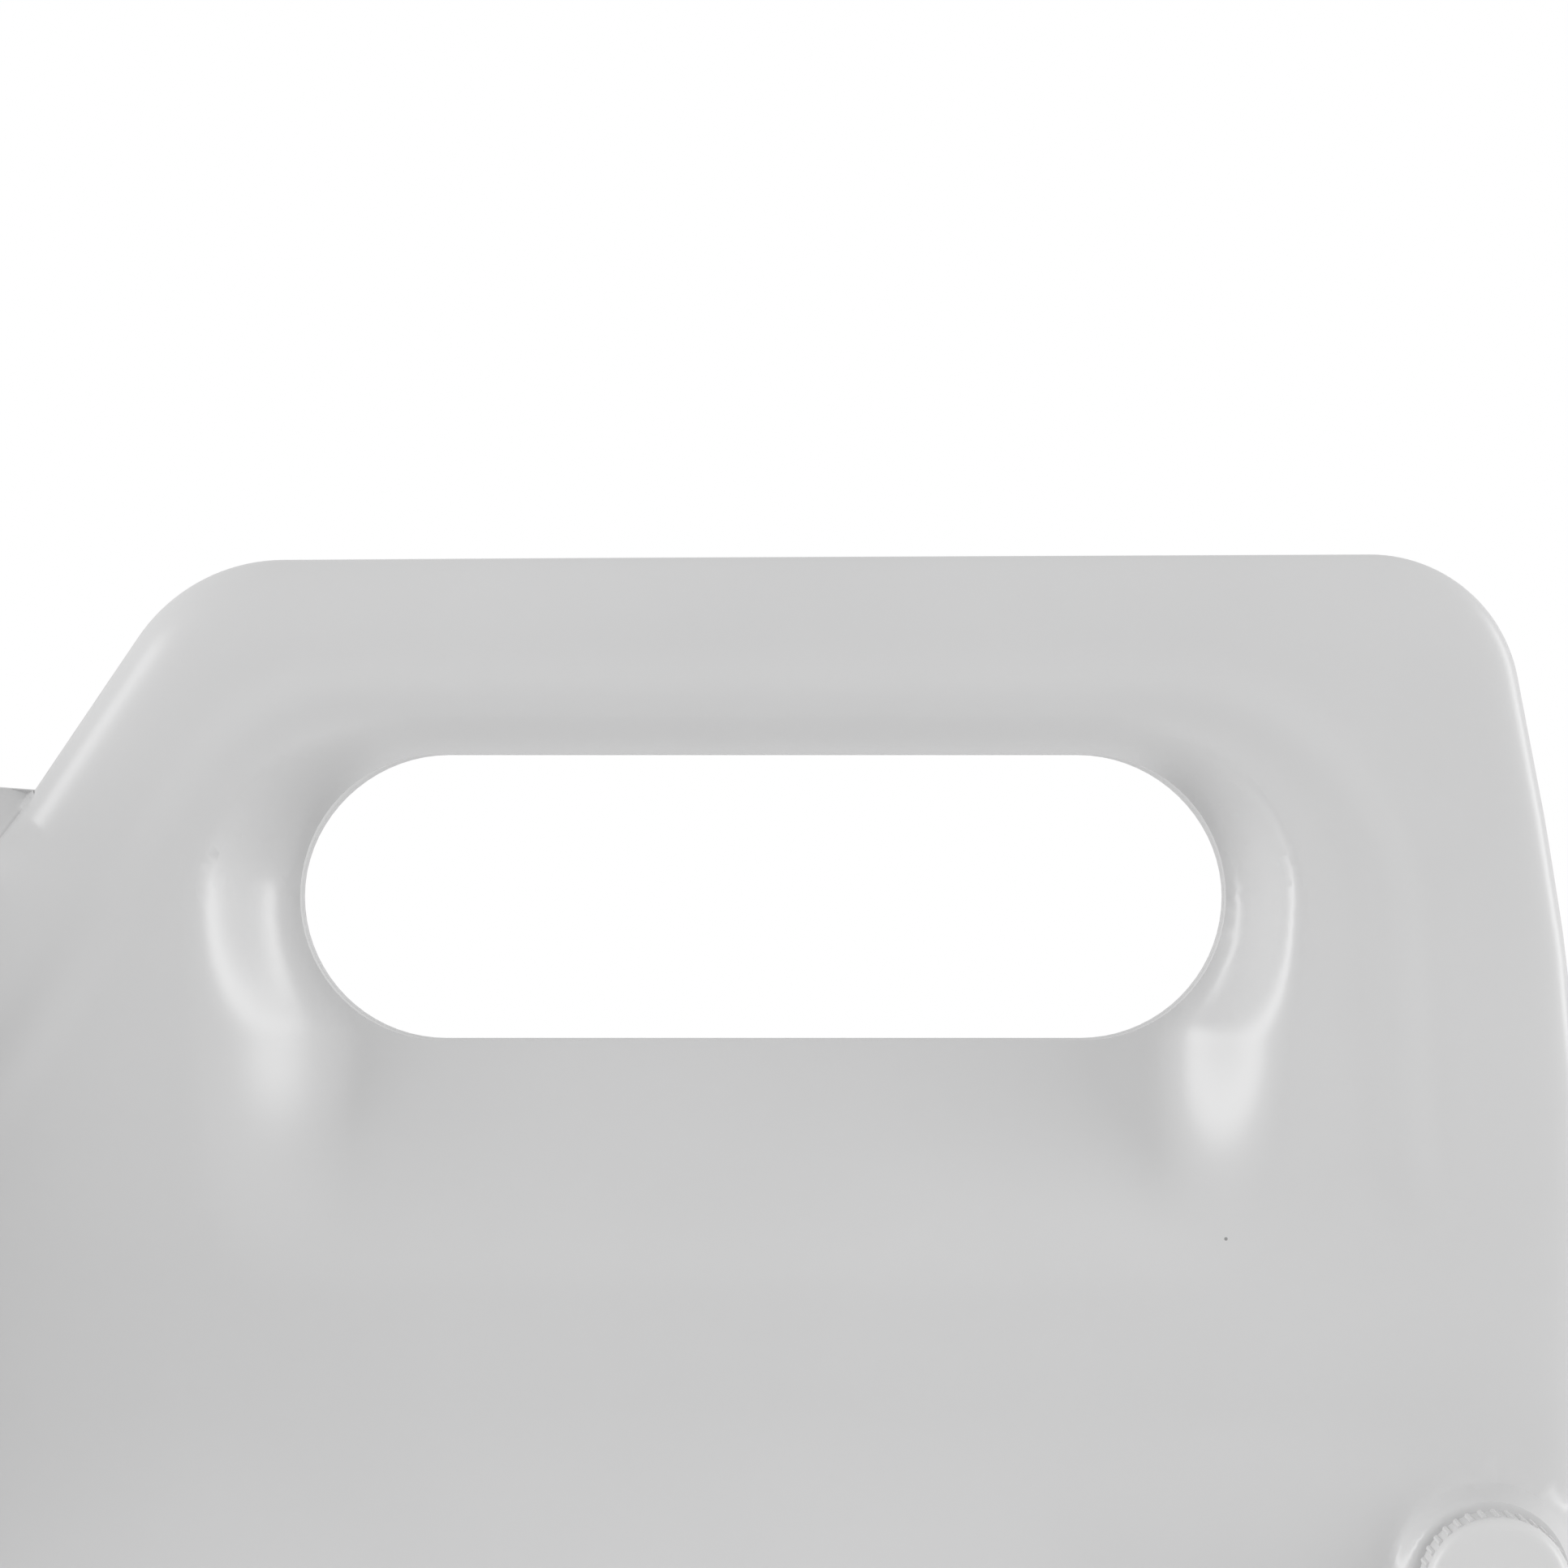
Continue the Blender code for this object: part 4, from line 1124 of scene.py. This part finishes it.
    def _seat_lines(self) -> list[Ring]:
        """Returns the lines round the vent's seat."""
        x, z, radius = self.vent
        rounds = [circle(x, z, radius + grow, 48) for grow in (0.0, 0.0006, 0.0012, 0.0018, 0.0026)]
        return [np.vstack([ring, ring[:1]]) for ring in rounds]

    def _spout_bore(self) -> bpy.types.Mesh:
        """Returns the cutter for the hole under the pour spout."""
        x, radius = self.spout
        low, high = self.shape.shoulder - 0.02, self.shape.shoulder + 0.01
        corners = [(0, low, 0), (radius, low, 0), (radius, high, 0), (0, high, 0)]
        return lathe(corners, Facing.UP.matrix(x, 0), 64)


@dataclass
class LevelScale:
    """The raised level marks and their figures on the flat back, beside the recess."""

    x: float = -0.128
    low: float = 0.095
    pitch: float = 0.0125
    marks: int = 9
    face: float = 0.048
    height: float = 0.0005
    finish: Finish = TANK_PLASTIC

    def build(self) -> bpy.types.Object:
        """Returns the marks, a long one at every other step, each long one with its figure."""
        steps = NodeSteps("level_scale", {"Marks": self.marks, "Pitch": self.pitch, "Length": 0.010,
                                          "Width": 0.0009, "Height": 2 * self.height})
        offset = steps.add("ShaderNodeCombineXYZ", Z=steps.size("Pitch"))
        line = steps.add("GeometryNodeMeshLine", Count=steps.size("Marks"), Offset=offset.outputs[0])
        size = steps.add("ShaderNodeCombineXYZ", X=steps.size("Length"), Y=steps.size("Height"),
                         Z=steps.size("Width"))
        bar = steps.add("GeometryNodeMeshCube", Size=size.outputs[0])
        index = steps.add("GeometryNodeInputIndex")
        odd = steps.maths("MODULO", index.outputs[0], 2.0)
        share = steps.maths("SUBTRACT", 1.0, steps.maths("MULTIPLY", odd, 0.45))
        scale = steps.add("ShaderNodeCombineXYZ", X=share, Y=1.0, Z=1.0)
        bars = steps.add("GeometryNodeInstanceOnPoints", Points=line.outputs[0], Instance=bar.outputs[0],
                         Scale=scale.outputs[0])
        place = steps.add("GeometryNodeTransform", Geometry=bars.outputs[0],
                          Translation=(self.x, self.face, self.low))
        steps.close(steps.entry.outputs["Geometry"], place.outputs[0], finish=self.finish)
        return add_piece("level_scale", steps.mesh_on(self._figures()), self.finish)

    def _figures(self) -> bpy.types.Mesh:
        """Returns the figures beside the long marks, read from behind."""
        bm = bmesh.new()
        for step in range(0, self.marks, 2):
            curve = bpy.data.curves.new("figure", "FONT")
            curve.body, curve.size, curve.extrude = str(step + 2), 0.0075, self.height
            curve.align_x, curve.align_y = "LEFT", "CENTER"
            text = bpy.data.objects.new("figure", curve)
            mesh = bpy.data.meshes.new_from_object(text)
            turn = Matrix.Rotation(math.pi, 4, "Z") @ Matrix.Rotation(math.pi / 2, 4, "X")
            place = (self.x - 0.0075, self.face, self.low + step * self.pitch)
            mesh.transform(Matrix.Translation(place) @ turn)
            bm.from_mesh(mesh)
            bpy.data.objects.remove(text)
        bmesh.ops.remove_doubles(bm, verts=bm.verts, dist=1e-6)
        return mesh_of(bm)


# --- the fittings ---


@dataclass
class PourSpout:
    """The capped pour spout on the shoulder: a neck with a flange and a thread, a seal and a ribbed cap."""

    x: float = -0.105
    foot: float = 0.4283
    rim: float = 0.4480
    bore: float = 0.0165
    neck: float = 0.0190
    flange: float = 0.0240
    cap: float = 0.0245
    cap_bore: float = 0.0210
    cap_low: float = 0.4318
    cap_top: float = 0.4535
    seal: tuple[float, float] = (0.4483, 0.4503)
    ribs: int = 60

    def build_neck(self) -> bpy.types.Object:
        """Returns the neck."""
        low, flange_top = self.foot - 0.012, self.foot + 0.0025
        corners = [
            (self.bore, low, 0.0008), (self.neck, low, 0.0008), (self.neck, self.foot, 0.0),
            (self.flange, self.foot, 0.0003), (self.flange, flange_top, 0.0008),
            (self.neck, flange_top, 0.0008), (self.neck, self.rim, 0.0009), (self.bore, self.rim, 0.0009),
        ]
        mesh = screw_thread(lathe(corners, Matrix.Identity(4)), NECK_PLASTIC, self.neck + 0.0001, 0.0010,
                            0.004, 3.0, self.foot + 0.0055)
        mesh.transform(Facing.UP.matrix(self.x, 0))
        return add_piece("pour_spout_neck", mesh, NECK_PLASTIC)

    def build_cap(self) -> bpy.types.Object:
        """Returns the cap, with ribs round its skirt and a raised ring on its top."""
        inner_top = self.seal[1] + 0.0003
        edge = self.cap - 0.0007
        corners = [
            (0, self.cap_top - 0.0012, 0), (0.0135, self.cap_top - 0.0012, 0.0005),
            (0.0142, self.cap_top, 0.0004), (edge, self.cap_top, 0.0026),
            (edge, self.cap_low + 0.0022, 0.0003),
            (self.cap, self.cap_low + 0.0018, 0.0003), (self.cap, self.cap_low, 0.0004),
            (self.cap_bore, self.cap_low, 0.0004), (self.cap_bore, inner_top, 0.0003), (0, inner_top, 0),
        ]
        mesh = grip_ribs(lathe(corners, Matrix.Identity(4), 120), CAP_PLASTIC, self.ribs, edge, 0.00068,
                         self.cap_low + 0.001, self.cap_top - 0.0028)
        mesh.transform(Facing.UP.matrix(self.x, 0))
        return add_piece("pour_spout_cap", mesh, CAP_PLASTIC)

    def build_seal(self) -> bpy.types.Object:
        """Returns the seal, a disc with a raised lip that meets the rim."""
        low, top = self.seal
        radius = self.cap_bore - 0.0005
        corners = [(0, low + 0.0006, 0), (self.bore - 0.001, low + 0.0006, 0.0003), (self.bore, low, 0.0003),
                   (radius, low, 0.0004), (radius, top, 0.0004), (0, top, 0)]
        return add_piece("pour_spout_seal", lathe(corners, Facing.UP.matrix(self.x, 0)), SEAL_RUBBER)


@dataclass
class Vent:
    """The capped air vent at the front's right edge. Its heights are depths in front of the parting plane."""

    x: float = 0.1605
    z: float = 0.3288
    foot: float = 0.0228
    rim: float = 0.0336
    neck: float = 0.0050
    bore: float = 0.0034
    cap: float = 0.0093
    cap_bore: float = 0.0062
    cap_low: float = 0.0254
    cap_front: float = 0.0375
    seal: tuple[float, float] = (0.0339, 0.0354)

    def build_neck(self) -> bpy.types.Object:
        """Returns the neck."""
        flange = self.cap - 0.001
        corners = [
            (self.bore, self.foot - 0.008, 0.0002), (self.neck, self.foot - 0.008, 0.0003),
            (self.neck, self.foot, 0.0), (flange, self.foot, 0.0002), (flange, self.foot + 0.0018, 0.0005),
            (self.neck, self.foot + 0.0018, 0.0004), (self.neck, self.rim, 0.0004),
            (self.bore, self.rim, 0.0004),
        ]
        mesh = screw_thread(lathe(corners, Matrix.Identity(4), 64), NECK_PLASTIC, self.neck, 0.0005,
                            0.002, 3.0, self.foot + 0.0035)
        mesh.transform(Facing.FRONT.matrix(self.x, self.z))
        return add_piece("vent_neck_moulding", mesh, NECK_PLASTIC)

    def build_cap(self) -> bpy.types.Object:
        """Returns the cap, with ribs round its skirt."""
        edge, inner = self.cap - 0.0003, self.seal[1] + 0.0003
        corners = [
            (0, self.cap_front, 0), (edge, self.cap_front, 0.0016), (edge, self.cap_low, 0.0003),
            (self.cap_bore, self.cap_low, 0.0003), (self.cap_bore, inner, 0.0002), (0, inner, 0),
        ]
        mesh = grip_ribs(lathe(corners, Matrix.Identity(4), 96), CAP_PLASTIC, 36, edge - 0.0001, 0.0004,
                         self.cap_low + 0.0007, self.cap_front - 0.0019)
        mesh.transform(Facing.FRONT.matrix(self.x, self.z))
        return add_piece("vent_cap_moulding", mesh, CAP_PLASTIC)

    def build_seal(self) -> bpy.types.Object:
        """Returns the seal disc."""
        low, top = self.seal
        radius = self.cap_bore - 0.0004
        corners = [(0, low + 0.0003, 0), (self.bore, low + 0.0003, 0.0001), (self.bore + 0.0003, low, 0.0001),
                   (radius, low, 0.0003), (radius, top, 0.0003), (0, top, 0)]
        return add_piece("vent_seal", lathe(corners, Facing.FRONT.matrix(self.x, self.z), 64), SEAL_RUBBER)


@dataclass
class DrainFitting:
    """The screw drain in the basin's sump. Its heights are depths in front of the parting plane."""

    z: float = 0.144
    tube: float = 0.0122
    bore: float = 0.0100
    flange: float = 0.0210
    gasket: tuple[float, float] = (0.0103, 0.0118)
    flange_low: float = 0.0121
    flange_top: float = 0.0151
    tube_end: float = -0.0060
    ring_radius: float = 0.0135
    ring_wire: float = 0.00075
    head: float = 0.0170
    head_low: float = 0.0172
    head_top: float = 0.0232
    stem_end: float = 0.0020
    nut: tuple[float, float] = (0.0007, 0.0067)
    nut_corner: float = 0.019
    strainer: tuple[float, float] = (-0.0045, -0.0025)

    @property
    def place(self) -> Matrix:
        """Returns the fitting's place."""
        return Facing.FRONT.matrix(0, self.z)

    def build_gasket(self) -> bpy.types.Object:
        """Returns the flat gasket under the flange."""
        low, top = self.gasket
        inner, outer = self.tube + 0.0004, self.flange - 0.001
        corners = [(inner, low, 0.0002), (outer, low, 0.0005), (outer, top, 0.0005), (inner, top, 0.0002)]
        return add_piece("drain_gasket_ring", lathe(corners, self.place), SEAL_RUBBER)

    def build_bushing(self) -> bpy.types.Object:
        """Returns the threaded bushing, with its flange."""
        corners = [
            (self.bore, self.tube_end, 0.0004), (self.tube - 0.0004, self.tube_end, 0.0003),
            (self.tube - 0.0004, 0.0, 0.0003), (self.tube - 0.0004, self.flange_low - 0.0015, 0.0),
            (self.tube, self.flange_low - 0.001, 0.0), (self.tube, self.flange_low, 0.0),
            (self.flange, self.flange_low, 0.0003), (self.flange, self.flange_top, 0.0010),
            (0.0152, self.flange_top, 0.0003), (0.0148, self.flange_top - 0.0002, 0.0),
            (self.bore + 0.0006, self.flange_top - 0.0002, 0.0002),
            (self.bore, self.flange_top - 0.0008, 0.0002),
        ]
        mesh = screw_thread(lathe(corners, Matrix.Identity(4)), FITTING_PLASTIC, self.tube - 0.00055, 0.0005,
                            0.0018, 3.0, self.tube_end + 0.0008)
        mesh.transform(self.place)
        return add_piece("drain_bushing_moulding", mesh, FITTING_PLASTIC)

    def build_nut(self) -> bpy.types.Object:
        """Returns the hexagonal nut inside the tank, its corners chamfered."""
        low, top = self.nut
        bore, corner = self.tube + 0.0003, self.nut_corner
        steps = 96
        bm = bmesh.new()
        angles = np.linspace(0, math.tau, steps, endpoint=False)
        flat = corner * math.cos(math.pi / 6)
        hexagon = flat / np.cos((angles + math.pi / 6) % (math.pi / 3) - math.pi / 6)
        shrunk = np.minimum(hexagon, flat + 0.0003)
        rows = [(np.full(steps, bore), low + 0.0004), (np.full(steps, bore + 0.0004), low), (shrunk, low),
                (hexagon, low + 0.0011), (hexagon, top - 0.0011), (shrunk, top),
                (np.full(steps, bore + 0.0004), top), (np.full(steps, bore), top - 0.0004)]
        rings = [[bm.verts.new((r * math.cos(a), r * math.sin(a), h)) for r, a in zip(radii, angles)]
                 for radii, h in rows]
        for lower, upper in zip(rings, rings[1:] + rings[:1]):
            for k in range(steps):
                bm.faces.new([lower[k], lower[(k + 1) % steps], upper[(k + 1) % steps], upper[k]])
        bmesh.ops.transform(bm, matrix=self.place, verts=bm.verts)
        return add_piece("drain_nut_moulding", mesh_of(bm), FITTING_PLASTIC)

    def build_strainer(self) -> bpy.types.Object:
        """Returns the strainer: a rim, and round bars woven across it."""
        low, top = self.strainer
        rim, wire = self.bore - 0.0003, 0.00045
        inner = rim - 0.0012
        corners = [(inner, low), (rim, low), (rim, top), (inner, top)]
        corners = [(radius, height, 0.0003) for radius, height in corners]
        steps = NodeSteps("strainer_bars", {"Reach": rim - 0.0006, "Wire": wire, "Bars": 7,
                                            "Pitch": 0.0024, "Middle": (low + top) / 2})
        line = steps.add("GeometryNodeMeshLine", Count=steps.size("Bars"),
                         Offset=steps.add("ShaderNodeCombineXYZ", X=steps.size("Pitch")).outputs[0])
        half = steps.maths("MULTIPLY", steps.maths("SUBTRACT", steps.size("Bars"), 1.0), -0.5)
        start = steps.add("ShaderNodeCombineXYZ", X=steps.maths("MULTIPLY", half, steps.size("Pitch")))
        centred = steps.add("GeometryNodeTransform", Geometry=line.outputs[0], Translation=start.outputs[0])
        bar = steps.add("GeometryNodeMeshCylinder", Vertices=10, Radius=steps.size("Wire"), Depth=2.0)
        laid = steps.add("GeometryNodeTransform", Geometry=bar.outputs["Mesh"], Rotation=(math.pi / 2, 0, 0))
        place = steps.add("GeometryNodeInputPosition")
        x = steps.add("ShaderNodeSeparateXYZ", Vector=place.outputs[0]).outputs["X"]
        reach = steps.maths("POWER", steps.size("Reach"), 2.0)
        square = steps.maths("SUBTRACT", reach, steps.maths("MULTIPLY", x, x))
        length = steps.add("ShaderNodeCombineXYZ", X=1.0, Y=steps.maths("SQRT", square), Z=1.0)
        bars = steps.add("GeometryNodeInstanceOnPoints", Points=centred.outputs[0], Instance=laid.outputs[0],
                         Scale=length.outputs[0])
        lower = steps.add("ShaderNodeCombineXYZ", Z=steps.maths("SUBTRACT", steps.size("Middle"), wire * 0.8))
        upper = steps.add("ShaderNodeCombineXYZ", Z=steps.maths("ADD", steps.size("Middle"), wire * 0.8))
        first = steps.add("GeometryNodeTransform", Geometry=bars.outputs[0], Translation=lower.outputs[0])
        second = steps.add("GeometryNodeTransform", Geometry=bars.outputs[0], Translation=upper.outputs[0],
                           Rotation=(0, 0, math.pi / 2))
        entry = steps.entry.outputs["Geometry"]
        steps.close(entry, first.outputs[0], second.outputs[0], finish=SCREEN_PLASTIC)
        mesh = steps.mesh_on(lathe(corners, Matrix.Identity(4)))
        mesh.transform(self.place)
        return add_piece("drain_strainer_screen", mesh, SCREEN_PLASTIC)

    def build_ring(self) -> bpy.types.Object:
        """Returns the O-ring under the plug's head."""
        middle, wire = self.flange_top + 0.0003 + self.ring_wire, self.ring_wire
        r = self.ring_radius
        corners = [(r - wire, middle - wire, wire * 0.99), (r + wire, middle - wire, wire * 0.99),
                   (r + wire, middle + wire, wire * 0.99), (r - wire, middle + wire, wire * 0.99)]
        return add_piece("drain_o_ring_moulding", lathe(corners, self.place), SEAL_RUBBER)

    def build_plug(self) -> bpy.types.Object:
        """Returns the screw plug: a ribbed head with a grip wing, and a threaded stem."""
        stem, edge = self.bore - 0.0012, self.head - 0.0004
        corners = [
            (0, self.head_top, 0), (edge, self.head_top, 0.0014), (edge, self.head_low, 0.0004),
            (stem, self.head_low, 0.0003), (stem, self.stem_end, 0.0008), (0, self.stem_end, 0),
        ]
        mesh = grip_ribs(lathe(corners, Matrix.Identity(4)), FITTING_PLASTIC, 48, edge - 0.0002, 0.00055,
                         self.head_low + 0.0005, self.head_top - 0.0012)
        mesh = screw_thread(mesh, FITTING_PLASTIC, stem - 0.0001, 0.0006, 0.003, 4.0, self.stem_end + 0.0014)
        bm = bmesh.new()
        bm.from_mesh(mesh)
        wing = bmesh.ops.create_cube(bm, size=1)["verts"]
        bmesh.ops.scale(bm, vec=(0.028, 0.005, 0.0130), verts=wing)
        bmesh.ops.translate(bm, vec=(0, 0, self.head_top + 0.0055), verts=wing)
        for vert in wing:
            if vert.co.z > self.head_top + 0.006:
                vert.co.x *= 0.86
                vert.co.y *= 0.8
        edges = list({edge for vert in wing for edge in vert.link_edges})
        bmesh.ops.bevel(bm, geom=edges, offset=0.0011, segments=4, profile=0.5, affect="EDGES")
        mesh = mesh_of(bm)
        mesh.transform(self.place)
        return add_piece("drain_plug_moulding", mesh, FITTING_PLASTIC)


# --- the studio ---


@dataclass
class Studio:
    """A plain white studio: soft light all round, a little stronger from the sides, and a pale floor."""

    eye: tuple[float, float, float] = (0.0740, -1.20, 0.4266)
    lens: float = 220.7
    floor_radius: float = 3.0
    surround: float = 0.81
    backdrop: float = 1.0
    left_power: float = 20.0
    right_power: float = 19.0

    def build(self) -> None:
        """Adds the floor, the lights, the surround and the camera."""
        floor = add_piece("studio_floor", self._disc(), FLOOR_PAINT)
        self._light("left_panel", (-1.55, -0.50, 0.5), (0.0, 0.0, 0.4), (0.6, 2.0), self.left_power)
        self._light("right_panel", (1.75, -0.42, 0.5), (0.1, 0.0, 0.4), (0.5, 2.0), self.right_power)
        self._surround()
        self._camera()
        scene = bpy.context.scene
        scene.view_settings.view_transform = "Standard"
        scene.view_settings.look = "None"
        scene.view_settings.exposure = 0.0
        scene.view_settings.gamma = 1.0

    def _disc(self) -> bpy.types.Mesh:
        """Returns the floor, just under the pan."""
        bm = bmesh.new()
        bmesh.ops.create_circle(bm, cap_ends=True, segments=96, radius=self.floor_radius)
        bmesh.ops.translate(bm, vec=(0, 0, -0.0005), verts=bm.verts)
        mesh = bpy.data.meshes.new("studio_floor")
        bm.to_mesh(mesh)
        bm.free()
        return mesh

    def _light(
        self, name: str, place: Corner, target: Corner, size: tuple[float, float], power: float
    ) -> None:
        """Adds a soft rectangular light that looks at target."""
        data = bpy.data.lights.new(name, "AREA")
        data.shape, data.size, data.size_y, data.energy = "RECTANGLE", *size, power
        light = bpy.data.objects.new(name, data)
        light.location = place
        light.rotation_euler = (Vector(target) - Vector(place)).to_track_quat("-Z", "Y").to_euler()
        bpy.context.scene.collection.objects.link(light)

    def _surround(self) -> None:
        """Adds the white surround: bright behind the pan, a little dimmer as light."""
        world = bpy.data.worlds.new("studio")
        world.use_nodes = True
        nodes, links = world.node_tree.nodes, world.node_tree.links
        background = nodes["Background"]
        background.inputs["Color"].default_value = (1, 1, 1, 1)
        seen = nodes.new("ShaderNodeLightPath").outputs["Is Camera Ray"]
        strength = nodes.new("ShaderNodeMapRange")
        strength.inputs["To Min"].default_value = self.surround
        strength.inputs["To Max"].default_value = self.backdrop
        links.new(seen, strength.inputs["Value"])
        links.new(strength.outputs["Result"], background.inputs["Strength"])
        bpy.context.scene.world = world

    def _camera(self) -> None:
        """Adds the camera, level, looking square at the front of the handle."""
        data = bpy.data.cameras.new("camera")
        data.lens, data.sensor_width, data.sensor_fit = self.lens, 36.0, "HORIZONTAL"
        data.clip_start, data.clip_end = 0.05, 50.0
        data.dof.use_dof = False
        camera = bpy.data.objects.new("camera", data)
        camera.location = self.eye
        camera.rotation_euler = (math.pi / 2, 0, 0)
        bpy.context.scene.collection.objects.link(camera)
        bpy.context.scene.camera = camera


def main() -> None:
    """Builds the pan's looks piece by piece, then the studio."""
    logging.basicConfig(level=logging.INFO, format="%(message)s")
    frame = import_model()
    LOG.info("frame: %d nodes", len(frame["nodes"]))

    tank = TankMoulding()
    keep(tank.build(Half.FRONT), "root", "tank", "front_shell")
    keep(tank.build(Half.BACK), "root", "tank", "back_shell")
    keep(tank.basin.build(tank.finish), "root", "tank", "catch_basin")
    keep(tank.panel.build(), "root", "tank", "back_panel")
    keep(LevelScale().build(), "root", "tank")

    spout = PourSpout()
    keep(spout.build_neck(), "root", "neck", "spout_neck")
    keep(spout.build_cap(), "spout_cap", "cap", "spout_cap")
    keep(spout.build_seal(), "spout_seal", "seal", "spout_cap_seal")

    vent = Vent()
    keep(vent.build_neck(), "root", "neck", "vent_neck")
    keep(vent.build_cap(), "vent_cap", "cap", "vent_cap")
    keep(vent.build_seal(), "vent_seal", "seal", "vent_cap_seal")

    drain = DrainFitting()
    keep(drain.build_gasket(), "root", "seal", "drain_gasket")
    keep(drain.build_bushing(), "root", "drain_fitting", "drain_bushing")
    keep(drain.build_nut(), "root", "drain_fitting", "drain_nut")
    keep(drain.build_strainer(), "root", "strainer", "drain_strainer")
    keep(drain.build_ring(), "plug_seal", "seal", "drain_o_ring")
    keep(drain.build_plug(), "drain_plug", "drain_fitting", "drain_plug")

    Studio().build()


if __name__ == "__main__":
    main()
